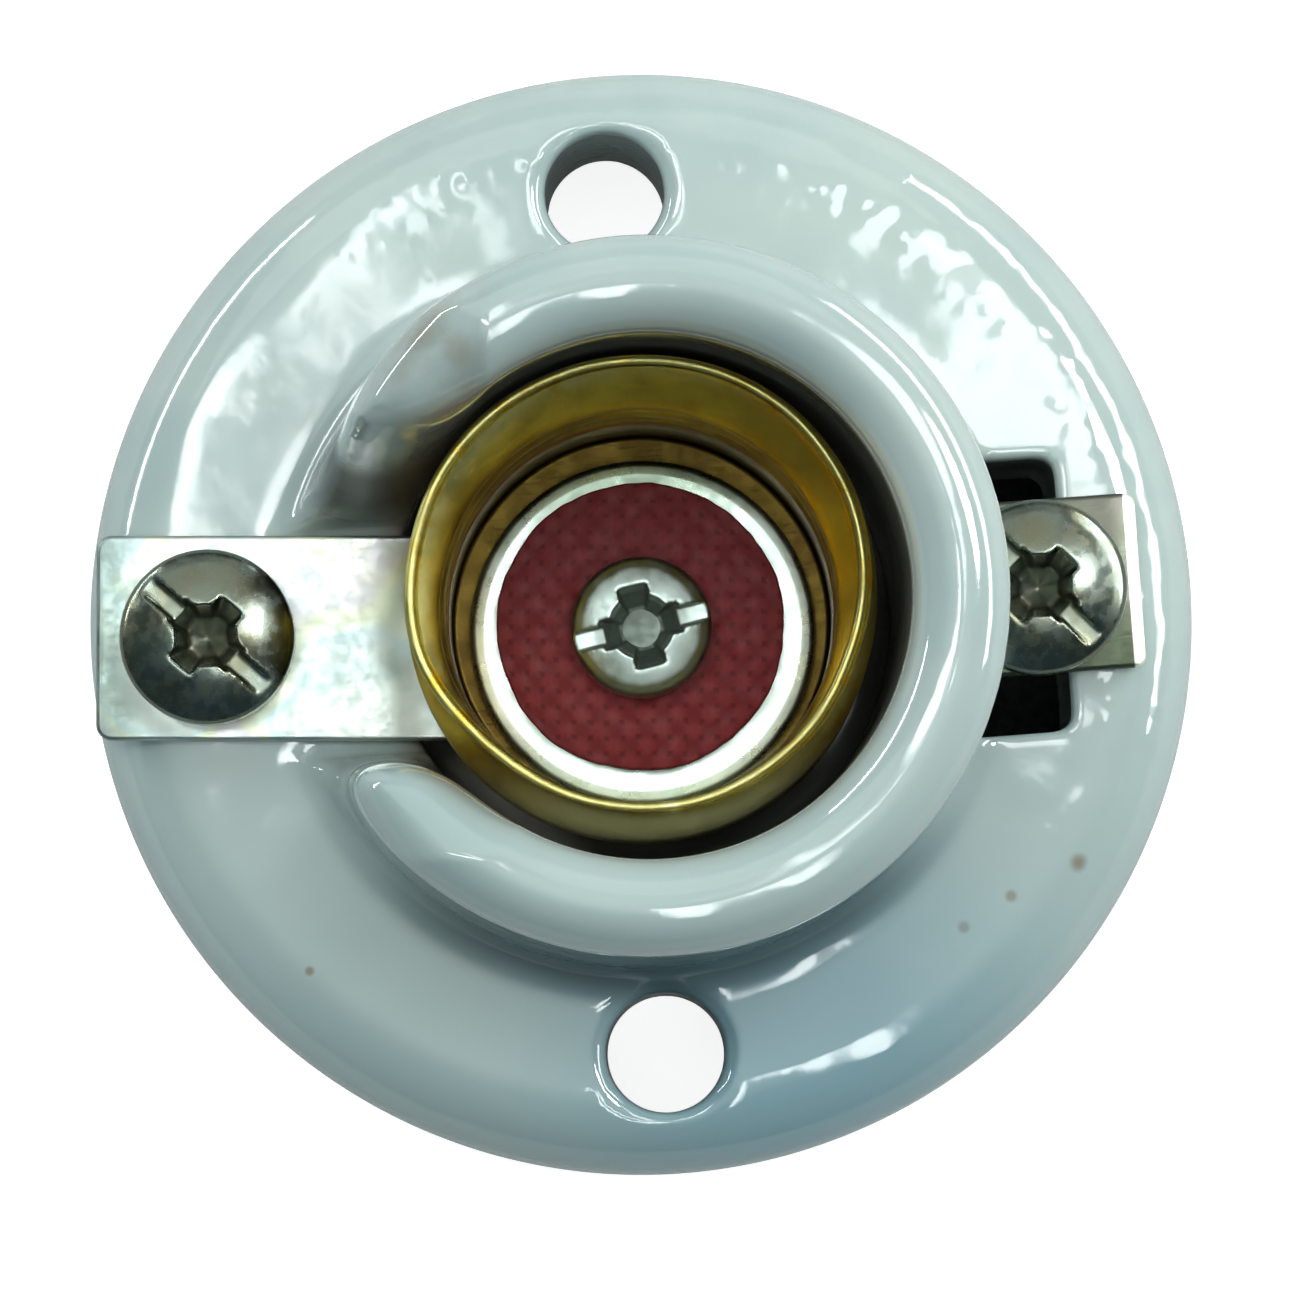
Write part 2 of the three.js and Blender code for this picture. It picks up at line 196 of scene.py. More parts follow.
# %% Modifier helpers
def settle(made):
    """Applies the modifiers of an object to its mesh."""
    bpy.context.view_layer.update()
    graph = bpy.context.evaluated_depsgraph_get()
    mesh = bpy.data.meshes.new_from_object(made.evaluated_get(graph), depsgraph=graph)
    made.modifiers.clear()
    old = made.data
    made.data = mesh
    bpy.data.meshes.remove(old)
    return made


def carve(made, cutters):
    """Cuts each cutter out of an object, and throws the cutters away."""
    for cutter in cutters:
        step = made.modifiers.new("carve", "BOOLEAN")
        step.operation = "DIFFERENCE"
        step.solver = "EXACT"
        step.object = cutter
    settle(made)
    for cutter in cutters:
        bpy.data.objects.remove(cutter)
    return made


def remesh(made, voxel, rounds):
    """An even skin over a carved solid, smoothed so that its edges soften as glaze or plating does."""
    skin = made.modifiers.new("skin", "REMESH")
    skin.mode = "VOXEL"
    skin.voxel_size = voxel
    soften = made.modifiers.new("soften", "SMOOTH")
    soften.factor = 0.5
    soften.iterations = rounds
    return settle(made)


def joined(name, parts):
    """One object out of several, by copying their meshes together."""
    work = bmesh.new()
    for part in parts:
        work.from_mesh(part.data)
    mesh = bpy.data.meshes.new(name)
    work.to_mesh(mesh)
    work.free()
    for part in parts:
        bpy.data.objects.remove(part)
    made = bpy.data.objects.new(name, mesh)
    bpy.context.scene.collection.objects.link(made)
    return made


def coordinates(made):
    points = np.empty(len(made.data.vertices) * 3)
    made.data.vertices.foreach_get("co", points)
    return points.reshape(-1, 3)


def place(made, points):
    made.data.vertices.foreach_set("co", points.ravel())
    made.data.update()


def relax(made, weight, rounds):
    """Draws each point towards its neighbours, by its weight, again and again."""
    points = coordinates(made)
    edges = np.empty(len(made.data.edges) * 2, dtype=np.int64)
    made.data.edges.foreach_get("vertices", edges)
    edges = edges.reshape(-1, 2)
    edges = edges[(weight[edges] > 0).any(axis=1)]
    here = np.concatenate([edges[:, 0], edges[:, 1]])
    there = np.concatenate([edges[:, 1], edges[:, 0]])
    share = np.maximum(np.bincount(here, minlength=len(points)), 1)
    for _ in range(rounds):
        for axis in range(3):
            mean = np.bincount(here, points[there, axis], len(points)) / share
            pull = 0.7 * weight
            points[:, axis] += pull * (mean - points[:, axis])
    place(made, points)


def finish_piece(made, name, material, body, node, sharp=35):
    """Names a piece, scales it to metres, gives it its finish, and hangs it on its body."""
    made.name = name
    made.data.name = name
    made.data.transform(Matrix.Scale(MM, 4))
    made.data.materials.clear()
    made.data.materials.append(material)
    made.data.shade_smooth()
    made.data.set_sharp_from_angle(angle=math.radians(sharp))
    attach(made, body)
    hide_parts(node)
    print(f"{name}: {len(made.data.polygons)} faces on {body}")
    return made


# %% [markdown]
# ## Finishes
# Each finish is a material with its own Principled shader. Two effects are used by several finishes,
# so each is a node group that puts out a mask: slow mottling, and fine scratches. Everything measures
# in millimetres, from the piece's own coordinates. A finish could instead be painted on a picture, but
# a procedural one needs no unwrapping and stays sharp at any distance.

# %% Node helpers
def node(tree, kind, settings=None, **inputs):
    """Adds a node. An input is named, with _ for a space, or numbered, as i0. It is a value or a socket."""
    made = tree.nodes.new(kind)
    for key, value in (settings or {}).items():
        setattr(made, key, value)
    for key, value in inputs.items():
        numbered = key[0] == "i" and key[1:].isdigit()
        socket = made.inputs[int(key[1:]) if numbered else key.replace("_", " ")]
        if isinstance(value, bpy.types.NodeSocket):
            tree.links.new(value, socket)
        else:
            socket.default_value = value
    return made


def math_node(tree, operation, a, b=0.0):
    return node(tree, "ShaderNodeMath", {"operation": operation}, i0=a, i1=b).outputs[0]


def times(tree, a, b):
    return math_node(tree, "MULTIPLY", a, b)


def between(tree, value, low, high):
    """0 where value is at low, 1 where it is at high, smooth in between."""
    made = node(
        tree, "ShaderNodeMapRange", {"interpolation_type": "SMOOTHSTEP"},
        Value=value, From_Min=low, From_Max=high,
    )
    return made.outputs["Result"]


def blend(tree, factor, a, b):
    """Colour a where the factor is 0, and colour b where it is 1."""
    made = node(tree, "ShaderNodeMix", {"data_type": "RGBA"}, i0=factor, i6=a, i7=b)
    return made.outputs[2]


def places(tree):
    """The point on the piece, in millimetres."""
    at = node(tree, "ShaderNodeTexCoord")
    return node(
        tree, "ShaderNodeVectorMath", {"operation": "SCALE"}, i0=at.outputs["Object"], Scale=1 / MM,
    ).outputs[0]


def place_along(tree, axis):
    """The point's X, Y or Z on the piece, in millimetres."""
    return node(tree, "ShaderNodeSeparateXYZ", Vector=places(tree)).outputs[axis]


def new_effect(name, inputs):
    """A node group with these numbers going in, and one mask coming out."""
    tree = bpy.data.node_groups.new(name, "ShaderNodeTree")
    for label, default in inputs.items():
        made = tree.interface.new_socket(label, in_out="INPUT", socket_type="NodeSocketFloat")
        made.default_value = default
    tree.interface.new_socket("Mask", in_out="OUTPUT", socket_type="NodeSocketFloat")
    print("shared effect:", name, "with", list(inputs))
    return tree, tree.nodes.new("NodeGroupInput").outputs, tree.nodes.new("NodeGroupOutput").inputs


def mask_of(tree, effect, **inputs):
    """Places a shared effect in a tree with these values, and returns its mask."""
    return node(tree, "ShaderNodeGroup", {"node_tree": effect}, **inputs).outputs["Mask"]


def new_finish(name):
    material = bpy.data.materials.new(name)
    material.use_nodes = True
    tree = material.node_tree
    shader = next(n for n in tree.nodes if n.type == "BSDF_PRINCIPLED")
    print("finish:", name)
    return material, tree, shader


def bump(tree, shader, height, depth):
    """Depth is the height of the relief in millimetres."""
    made = node(tree, "ShaderNodeBump", Strength=1.0, Distance=depth * MM, Height=height)
    tree.links.new(made.outputs["Normal"], shader.inputs["Normal"])


# %% Shared effect: mottling
mottle, given, result = new_effect("mottle", {"Size": 3.0, "Detail": 4.0, "Low": 0.35, "High": 0.65})
cloud = node(
    mottle, "ShaderNodeTexNoise", Vector=places(mottle),
    Scale=math_node(mottle, "DIVIDE", 1.0, given["Size"]), Detail=given["Detail"],
)
mottle.links.new(between(mottle, cloud.outputs[0], given["Low"], given["High"]), result["Mask"])

# %% Shared effect: fine scratches
scratches, given, result = new_effect("fine_scratches", {"Density": 0.5})
lines = []
for turn in (0.5, 2.1, 4.0):
    drawn_out = node(
        scratches, "ShaderNodeMapping", Vector=places(scratches),
        Rotation=(0.0, 0.0, turn), Scale=(0.35, 6.0, 6.0),
    )
    grain = node(scratches, "ShaderNodeTexNoise", Vector=drawn_out.outputs[0], Scale=2.0, Detail=2.0)
    lines.append(between(scratches, grain.outputs[0], 0.63, 0.72))
most = math_node(scratches, "MAXIMUM", lines[0], math_node(scratches, "MAXIMUM", lines[1], lines[2]))
scratches.links.new(times(scratches, most, given["Density"]), result["Mask"])

# %% [markdown]
# ### Glazed porcelain
# The body is white porcelain under a clear glaze that lies unevenly, and carries a few iron specks. A
# stain marks the lip at one end of the notch. Painted shade darkens and blues the glaze towards the
# front, and more deeply on the base in front of the collar and where the collar's front meets the base;
# it also dims the collar's front left side, the top of the bore, and the end face of the notch. The foot
# is wiped clean before firing, so the underside is matt. The colour starts from two glaze tones in
# slow clouds, and each mark is blended over them by how near it is.

# %% Porcelain colour
GLAZE = (0.41, 0.475, 0.455, 1)
GLAZE_DEEP_AND_SHADE = (0.31, 0.405, 0.415, 1)
SHADOW_BLUE = (0.19, 0.32, 0.375, 1)
SIDE_SHADE = (0.20, 0.29, 0.29, 1)
FOOT_SHADOW = (0.05, 0.075, 0.08, 1)
NOTCH_SHADE = (0.055, 0.06, 0.052, 1)
STAIN = (0.20, 0.14, 0.08, 1)
BARE = (0.66, 0.65, 0.60, 1)
SPECKS = (
    (13.6, -8.9, 0.32), (-12.9, -10.6, 0.26), (9.7, -10.7, 0.2), (-11.5, -10.6, 0.16), (11.3, -9.8, 0.2),
)

porcelain, tree, shader = new_finish("glazed_porcelain")
here_mm = places(tree)
axes = node(tree, "ShaderNodeSeparateXYZ", Vector=here_mm)
height_mm = axes.outputs["Z"]
from_axis = math_node(
    tree, "SQRT",
    math_node(
        tree, "ADD",
        math_node(tree, "POWER", axes.outputs["X"], 2.0), math_node(tree, "POWER", axes.outputs["Y"], 2.0),
    ),
)
clouds = mask_of(tree, mottle, Size=7.0, Detail=3.0)
# Painted shade: the glaze is darker and bluer towards the front, mixed with slow clouds of deeper glaze.
painted_front_shade = times(tree, between(tree, axes.outputs["Y"], 6.0, -16.0), 0.7)
pooling_and_shade = math_node(tree, "MAXIMUM", times(tree, clouds, 0.6), painted_front_shade)
colour = blend(tree, pooling_and_shade, GLAZE, GLAZE_DEEP_AND_SHADE)


def near_point(x, y, z, radius, fade):
    """1 inside a ball of this radius, 0 a little way outside it."""
    gap = node(
        tree, "ShaderNodeVectorMath", {"operation": "DISTANCE"}, i0=here_mm, i1=(x, y, z),
    ).outputs["Value"]
    return between(tree, gap, radius + fade, radius)


# %% Marks on the porcelain
for x, y, radius in SPECKS:
    speck = near_point(x, y, BASE_TOP, radius * 0.4, radius)
    colour = blend(tree, times(tree, speck, 0.75), colour, STAIN)
smoke = mask_of(tree, mottle, Size=1.5, Low=0.25, High=0.75)
lip_stain = times(tree, near_point(-6.2, 8.1, COLLAR_TOP - 0.5, 0.5, 3.2), smoke)
colour = blend(tree, times(tree, lip_stain, 0.55), colour, STAIN)
# Painted shadow: a deep blue patch on the base in front of the collar.
painted_front_shadow = near_point(4.0, -14.0, BASE_TOP, 2.0, 9.0)
colour = blend(tree, times(tree, painted_front_shadow, 0.8), colour, SHADOW_BLUE)
# Painted shadow: nearly black where the collar's front meets the base.
collar_foot = times(
    tree, between(tree, height_mm, BASE_TOP + 2.2, BASE_TOP + 0.4), between(tree, from_axis, 13.0, 11.6),
)
painted_foot_shadow = times(tree, collar_foot, times(tree, between(tree, axes.outputs["Y"], -6.0, -10.5), 0.7))
colour = blend(tree, painted_foot_shadow, colour, FOOT_SHADOW)
# Painted shade: the collar's front left side is dimmed.
painted_side_shade = near_point(-7.0, -6.8, COLLAR_TOP - 3.0, 1.0, 5.0)
colour = blend(tree, times(tree, painted_side_shade, 0.5), colour, SIDE_SHADE)
# Painted shade: the end face of the notch, turned away from the light, is made nearly black, rougher and
# less coated.
painted_notch_shade = times(tree, near_point(-8.3, 5.0, BASE_TOP + 4.0, 1.6, 4.4), 0.95)
colour = blend(tree, painted_notch_shade, colour, NOTCH_SHADE)
# Painted shade: the top of the bore darkens brown inwards, in the stain colour.
painted_bore_shade = times(
    tree, between(tree, from_axis, 9.3, 8.3), between(tree, height_mm, COLLAR_TOP + 0.2, COLLAR_TOP - 3.0),
)
colour = blend(tree, times(tree, painted_bore_shade, 0.6), colour, STAIN)
bare = between(tree, height_mm, 0.35, 0.1)
tree.links.new(blend(tree, bare, colour, BARE), shader.inputs["Base Color"])
print("specks in the glaze:", len(SPECKS))

# %% [markdown]
# A glaze is a glassy coat, so it mirrors the lamps. Over a perfectly even surface they would show as
# perfect shapes, and it would read as plastic. A slow swell in the bump bends the reflections, and
# beads of thick glaze near the rim, at the right and the back, break them up. The swell could be
# modelled, but a bump keeps the mesh light.

# %% Porcelain gloss and ripples
sheen = mask_of(tree, mottle, Size=4.0, Low=0.3, High=0.7)
gloss = math_node(tree, "ADD", times(tree, sheen, 0.05), 0.05)
gloss = math_node(tree, "ADD", gloss, times(tree, bare, 0.5))
gloss = math_node(tree, "ADD", gloss, times(tree, painted_notch_shade, 0.35))
tree.links.new(gloss, shader.inputs["Roughness"])
shader.inputs["IOR"].default_value = 1.55
clean = math_node(tree, "SUBTRACT", 0.3, times(tree, painted_notch_shade, 0.3))
tree.links.new(clean, shader.inputs["Coat Weight"])
shader.inputs["Coat Roughness"].default_value = 0.03

swell = node(tree, "ShaderNodeTexNoise", Vector=here_mm, Scale=0.32, Detail=1.0)
ripple = node(tree, "ShaderNodeTexNoise", Vector=here_mm, Scale=1.1, Detail=2.0)
bead = node(tree, "ShaderNodeTexVoronoi", {"feature": "SMOOTH_F1"}, Vector=here_mm, Scale=1.3)
near_rim = between(tree, from_axis, BASE_R - 4.5, BASE_R - 2.2)
right_and_back = math_node(tree, "ADD", axes.outputs["X"], axes.outputs["Y"])
near_rim = times(tree, near_rim, between(tree, right_and_back, 0.0, 12.0))
beads = times(tree, bead.outputs["Distance"], near_rim)
relief = math_node(tree, "ADD", times(tree, swell.outputs[0], 0.25), times(tree, ripple.outputs[0], 0.02))
relief = math_node(tree, "ADD", relief, times(tree, beads, -0.22))
bump(tree, shader, relief, 0.20)
print("glaze bump:", [swell.bl_label, ripple.bl_label, bead.bl_label])

# %% [markdown]
# ### Metals
# The shell is tarnished brass, the strap on its side is fresh zinc plating, and the other strap has
# gone dull. The screws are smoother and darker. A metal has almost no colour of its own beyond its
# reflections, so one maker covers them all: a metallic shader with a second tone in patches, and fine
# scratches that show in the roughness and the bump.

# %% Metal finish maker
def metal_finish(name, base, patch, rough, patch_size, relief=0.01, scratched=0.6):
    """A metal with a second tone in patches, and fine scratches. Returns its colour too."""
    material, tree, shader = new_finish(name)
    colour = blend(tree, mask_of(tree, mottle, Size=patch_size), base, patch)
    marks = mask_of(tree, scratches, Density=scratched)
    tree.links.new(colour, shader.inputs["Base Color"])
    shader.inputs["Metallic"].default_value = 1.0
    fine = mask_of(tree, mottle, Size=patch_size * 0.3)
    dull = math_node(tree, "ADD", times(tree, fine, 0.12), rough)
    dull = math_node(tree, "ADD", dull, times(tree, marks, 0.1))
    tree.links.new(dull, shader.inputs["Roughness"])
    dents = node(tree, "ShaderNodeTexNoise", Vector=places(tree), Scale=1.4, Detail=3.0)
    level = math_node(tree, "SUBTRACT", dents.outputs[0], times(tree, marks, 0.12))
    bump(tree, shader, level, relief)
    return material, tree, shader, colour


# %% [markdown]
# Brass goes olive and then brown with age, and the rim is rubbed paler every time a lamp goes in.
# Painted shade makes the shell nearly black towards its foot, and painted light makes the front of the
# shell paler. All three are masks made from the height or the place.

# %% Brass finish
BRASS = (0.52, 0.37, 0.045, 1)
BRASS_BROWN = (0.34, 0.23, 0.03, 1)
BRASS_WORN = (0.42, 0.38, 0.14, 1)
BRASS_SHADE = (0.035, 0.020, 0.008, 1)
BRASS_LIT = (0.66, 0.66, 0.40, 1)
brass, tree, shader, colour = metal_finish("dull_brass", BRASS, BRASS_BROWN, 0.33, 3.0, relief=0.03)
rise = place_along(tree, "Z")
rim = between(tree, rise, SHELL_TOP - 0.55, SHELL_TOP - 0.1)
rim = times(tree, rim, mask_of(tree, mottle, Size=0.8, Low=0.2, High=0.55))
# Painted shade: the shell goes nearly black towards its foot.
painted_deep_shade = between(tree, rise, SHELL_FOOT + 6.0, SHELL_FOOT + 2.5)
colour = blend(tree, times(tree, painted_deep_shade, 0.9), colour, BRASS_SHADE)
# Painted light: the front of the shell, whose inside faces the lamps, is paler.
front = between(tree, place_along(tree, "Y"), -4.0, -7.0)
colour = blend(tree, times(tree, front, 0.9), colour, BRASS_LIT)
tree.links.new(blend(tree, rim, colour, BRASS_WORN), shader.inputs["Base Color"])

# %% [markdown]
# Fresh zinc plating is passed in a bath that leaves a film thinner than light's own waves, which shows
# as faint pink, yellow and blue. A thin-film shader could work it out, but a ramp of pale tints over
# slow noise gives the same patches and exports. The sheared end of the strap is greyer.

# %% Bright zinc finish
ZINC = (0.52, 0.575, 0.545, 1)
ZINC_COOL = (0.40, 0.485, 0.465, 1)
ZINC_END = (0.16, 0.21, 0.18, 1)
FILM_TINTS = (
    (0.36, (0.42, 0.50, 0.46, 1)),
    (0.44, (0.58, 0.50, 0.57, 1)),
    (0.50, (0.62, 0.62, 0.38, 1)),
    (0.56, (0.42, 0.55, 0.60, 1)),
    (0.64, (0.54, 0.58, 0.53, 1)),
)
bright_zinc, tree, shader, colour = metal_finish("bright_zinc", ZINC, ZINC_COOL, 0.33, 1.1)
waviness = node(tree, "ShaderNodeTexNoise", Vector=places(tree), Scale=0.33, Detail=1.0)
bump(tree, shader, waviness.outputs[0], 0.35)
film = node(tree, "ShaderNodeTexNoise", Vector=places(tree), Scale=0.22, Detail=2.0, Distortion=0.6)
tints = node(tree, "ShaderNodeValToRGB", Fac=film.outputs[0])
for at, tint in FILM_TINTS:
    tints.color_ramp.elements.new(at).color = tint
colour = blend(tree, 0.5, colour, tints.outputs[0])
end = between(tree, place_along(tree, "X"), -15.8, -17.2)
tree.links.new(blend(tree, times(tree, end, 0.7), colour, ZINC_END), shader.inputs["Base Color"])

# %% Clamping ring finish
RING = (0.72, 0.80, 0.76, 1)
RING_COOL = (0.62, 0.71, 0.66, 1)
RING_SHADE = (0.22, 0.29, 0.21, 1)
ring_zinc, tree, shader, colour = metal_finish(
    "bright_zinc_ring", RING, RING_COOL, 0.26, 2.0, scratched=0.2,
)
# Painted shade: the far side of the ring, under the shell's back wall, is darkened.
back = times(tree, between(tree, place_along(tree, "Y"), 2.6, 4.9), 0.85)
tree.links.new(blend(tree, back, colour, RING_SHADE), shader.inputs["Base Color"])

# %% [markdown]
# The contact strip's plating has gone dull and pinkish, and the strip is darker and more olive towards the
# front. Its sheared end is rolled over by the tool, and a painted highlight lays a pale line along it.

# %% Dull zinc finish
DULL = (0.135, 0.12, 0.12, 1)
DULL_OLIVE = (0.11, 0.12, 0.09, 1)
DULL_FRONT = (0.07, 0.09, 0.055, 1)
END_HIGHLIGHT = (0.88, 0.90, 0.80, 1)
dull_zinc, tree, shader, colour = metal_finish("dull_zinc", DULL, DULL_OLIVE, 0.34, 3.5, relief=0.02)
front = times(tree, between(tree, place_along(tree, "Y"), 0.8, -1.8), 0.85)
colour = blend(tree, front, colour, DULL_FRONT)
# Painted highlight: a pale line along the rolled end of the strip.
sheared = between(tree, place_along(tree, "X"), strip_high.x - 0.42, strip_high.x - 0.34)
tree.links.new(blend(tree, sheared, colour, END_HIGHLIGHT), shader.inputs["Base Color"])

# %% [markdown]
# The screws are cold headed and plated, smooth on the crown. Dirt packs into the recess and is never
# wiped out, and the recess lies in shade, so a mask finds the points that are deep in a head and near its
# axis, and makes them darker, as dirt and painted shade, and rougher. The contact screw is cleaner,
# because lamps rub it.

# %% Screw finishes
STEEL = (0.17, 0.20, 0.175, 1)
STEEL_WARM = (0.17, 0.17, 0.12, 1)
CONTACT = (0.42, 0.50, 0.47, 1)
CONTACT_DARK = (0.36, 0.42, 0.40, 1)
GRIME_AND_SHADE = (0.09, 0.10, 0.07, 1)


def grimed_and_shaded(tree, shader, colour, centres, crown, reach, amount):
    """Darkens the recess of each screw head, as dirt and painted shade, and roughens it. The heads' crowns
    are at one height.
    """
    at = places(tree)
    rise = node(tree, "ShaderNodeSeparateXYZ", Vector=at).outputs["Z"]
    deep = between(tree, rise, crown - 0.25, crown - 0.7)
    flat = node(tree, "ShaderNodeVectorMath", {"operation": "MULTIPLY"}, i0=at, i1=(1.0, 1.0, 0.0))
    gaps = [
        node(
            tree, "ShaderNodeVectorMath", {"operation": "DISTANCE"}, i0=flat.outputs[0], i1=(x, y, 0.0),
        ).outputs["Value"]
        for x, y in centres
    ]
    nearest = math_node(tree, "MINIMUM", gaps[0], gaps[-1])
    mask = times(tree, deep, between(tree, nearest, reach + 0.25, reach))
    mask = times(tree, mask, amount)
    tree.links.new(blend(tree, mask, colour, GRIME_AND_SHADE), shader.inputs["Base Color"])
    was = shader.inputs["Roughness"].links[0].from_socket
    tree.links.new(math_node(tree, "ADD", was, times(tree, mask, 0.4)), shader.inputs["Roughness"])


terminal_crown = box_mm("left_terminal_screw")[1].z
contact_crown = box_mm("contact_screw")[1].z
screw_steel, tree, shader, colour = metal_finish("screw_steel", STEEL, STEEL_WARM, 0.19, 1.6, scratched=0.1)
grimed_and_shaded(tree, shader, colour, (LEFT_SCREW, RIGHT_SCREW), terminal_crown, 1.55, 0.25)
contact_steel, tree, shader, colour = metal_finish(
    "contact_screw_steel", CONTACT, CONTACT_DARK, 0.30, 1.2, scratched=0.15,
)
grimed_and_shaded(tree, shader, colour, (CONTACT_SCREW,), contact_crown, 1.4, 0.55)

# %% [markdown]
# ### Woven laminate
# The disc is punched from a sheet of cloth pressed in dark red resin. The cloth shows as a plain weave:
# a thread goes over one neighbour and under the next, both ways. Two crossed sine waves give the over
# and under, and their corners make the dark pinholes between the threads. The weave wanders a little,
# because cloth is never laid quite straight. The far half of the disc is darkened as painted shade.

# %% Laminate finish
RESIN = (0.20, 0.018, 0.022, 1)
RESIN_LIGHT = (0.28, 0.036, 0.040, 1)
RESIN_DARK = (0.085, 0.008, 0.011, 1)
THREAD = 0.52

laminate, tree, shader = new_finish("fabric_laminate")
wander = node(tree, "ShaderNodeTexNoise", Vector=places(tree), Scale=0.7, Detail=1.0)
bent = node(
    tree, "ShaderNodeVectorMath", {"operation": "MULTIPLY_ADD"},
    i0=wander.outputs[1], i1=(0.25, 0.25, 0.0), i2=places(tree),
)
turned_cloth = node(tree, "ShaderNodeMapping", Vector=bent.outputs[0], Rotation=(0.0, 0.0, 0.07))
cloth = node(tree, "ShaderNodeSeparateXYZ", Vector=turned_cloth.outputs[0])
waves = [math_node(tree, "SINE", times(tree, cloth.outputs[axis], math.pi / THREAD)) for axis in ("X", "Y")]
over = times(tree, waves[0], waves[1])
holes = math_node(
    tree, "SUBTRACT", 1.0,
    math_node(tree, "MAXIMUM", math_node(tree, "ABSOLUTE", waves[0]), math_node(tree, "ABSOLUTE", waves[1])),
)
pinholes = between(tree, holes, 0.2, 0.9)
tufts = mask_of(tree, mottle, Size=0.5, Low=0.35, High=0.7)
tone = blend(tree, between(tree, over, -0.8, 0.9), RESIN, RESIN_LIGHT)
tone = blend(tree, times(tree, tufts, 0.2), tone, RESIN)
fibre = node(tree, "ShaderNodeMapping", Vector=turned_cloth.outputs[0], Scale=(7.0, 1.2, 1.0))
fibres = node(tree, "ShaderNodeTexNoise", Vector=fibre.outputs[0], Scale=1.0, Detail=3.0)
tone = blend(tree, times(tree, between(tree, fibres.outputs[0], 0.4, 0.65), 0.3), tone, RESIN)
tone = blend(tree, times(tree, pinholes, 0.6), tone, RESIN_DARK)
# Painted shade: the far half of the disc, under the shell's back wall, is darker.
painted_far_shade = times(tree, between(tree, cloth.outputs["Y"], -3.0, 3.5), 0.45)
tone = blend(tree, painted_far_shade, tone, RESIN_DARK)
tree.links.new(tone, shader.inputs["Base Color"])
shader.inputs["Specular IOR Level"].default_value = 0.2
tree.links.new(math_node(tree, "ADD", times(tree, tufts, 0.2), 0.5), shader.inputs["Roughness"])
bump(tree, shader, math_node(tree, "SUBTRACT", over, times(tree, pinholes, 0.8)), 0.02)
print("finishes:", [m.name for m in bpy.data.materials])

# %% [markdown]
# ## The porcelain body
# A real body is pressed in a steel die, trimmed, dipped in glaze and fired. Here the profile is turned,
# the holes, notch, slot and pocket are carved out of it, and a voxel skin is drawn over the result and
# smoothed. Smoothing a voxel skin rounds every edge by about the thickness of the glaze, which bevels
# could not do where the notch runs out over the rounded lip. The cut ends of the collar are smoothed
# again, because they are much rounder on the real piece. Last, the collar is leant a little to the
# right, as pressing left it.

# %% Turn and carve the body
BORE_R = 8.15
COLLAR_R = 11.2
BASE_ROUND = 2.1
HOLE_CENTRES = ((-0.2, 13.95), (-0.2, -14.05))
HOLE_R = 1.95
HOLE_EDGE = 0.32
SLOT = (9.75, 13.7, -4.6, 4.3)
NOTCH_FOOT = (-3.8, 3.6)
NOTCH_LIP = (-4.5, 6.1)
RELIEF_R = 2.3
RELIEF_FLOOR = 3.6
POCKET_TOP = 3.1
BOSS_R = 2.2
BOSS_TOP = 6.1
lip_r = (COLLAR_R - BORE_R) / 2
lip = [
    (BORE_R + lip_r * (1 - math.cos(a)), COLLAR_TOP - lip_r * (1 - math.sin(a)))
    for a in np.linspace(0, math.pi, 25)
]
profile = eased([
    (0, BOSS_TOP, 0), (BOSS_R, BOSS_TOP, 0.2), (BOSS_R, BORE_FLOOR, 0.2),
    (BORE_R, BORE_FLOOR, 0.4), (BORE_R, 12, 0),
])
profile += lip
profile += eased([
    (COLLAR_R + 0.05, 17, 0), (COLLAR_R + 0.12, BASE_TOP, 1.15),
    (BASE_R, BASE_TOP, BASE_ROUND + 0.5), (BASE_R, 0.0, 0.6), (0, 0, 0),
], steps=10)
holder = turned(profile, 256)


def drill(radius, z0, z1, centre):
    """A plain round cutter between two heights."""
    return turned([(0, z0), (radius, z0), (radius, z1), (0, z1)], 32, centre)


wide = HOLE_R + HOLE_EDGE
hole_side = eased([
    (wide, 0, 0), (HOLE_R, HOLE_EDGE, HOLE_EDGE), (HOLE_R, BASE_TOP - HOLE_EDGE, HOLE_EDGE),
    (wide, BASE_TOP + 0.02, 0),
])
hole_profile = [(0, -1), (wide, -1), *hole_side, (wide, BASE_TOP + 2), (0, BASE_TOP + 2)]
cutters = [turned(hole_profile, 64, centre) for centre in HOLE_CENTRES]
cutters.append(wedge((-14, -6, *NOTCH_FOOT), (-14, -6, *NOTCH_LIP), BASE_TOP, COLLAR_TOP + 1))
cutters.append(prism(rectangle(*SLOT, 0.5), -1, 15.9))
cutters.append(prism(rectangle(-4.6, *SLOT[1:], 0.8), -2, POCKET_TOP))
cutters += [drill(RELIEF_R, RELIEF_FLOOR, BASE_TOP + 0.5, centre) for centre in (LEFT_SCREW, RIGHT_SCREW)]
cutters.append(drill(1.6, 1, 8, (0, -0.1)))
carve(holder, cutters)
print("carved faces:", len(holder.data.polygons))

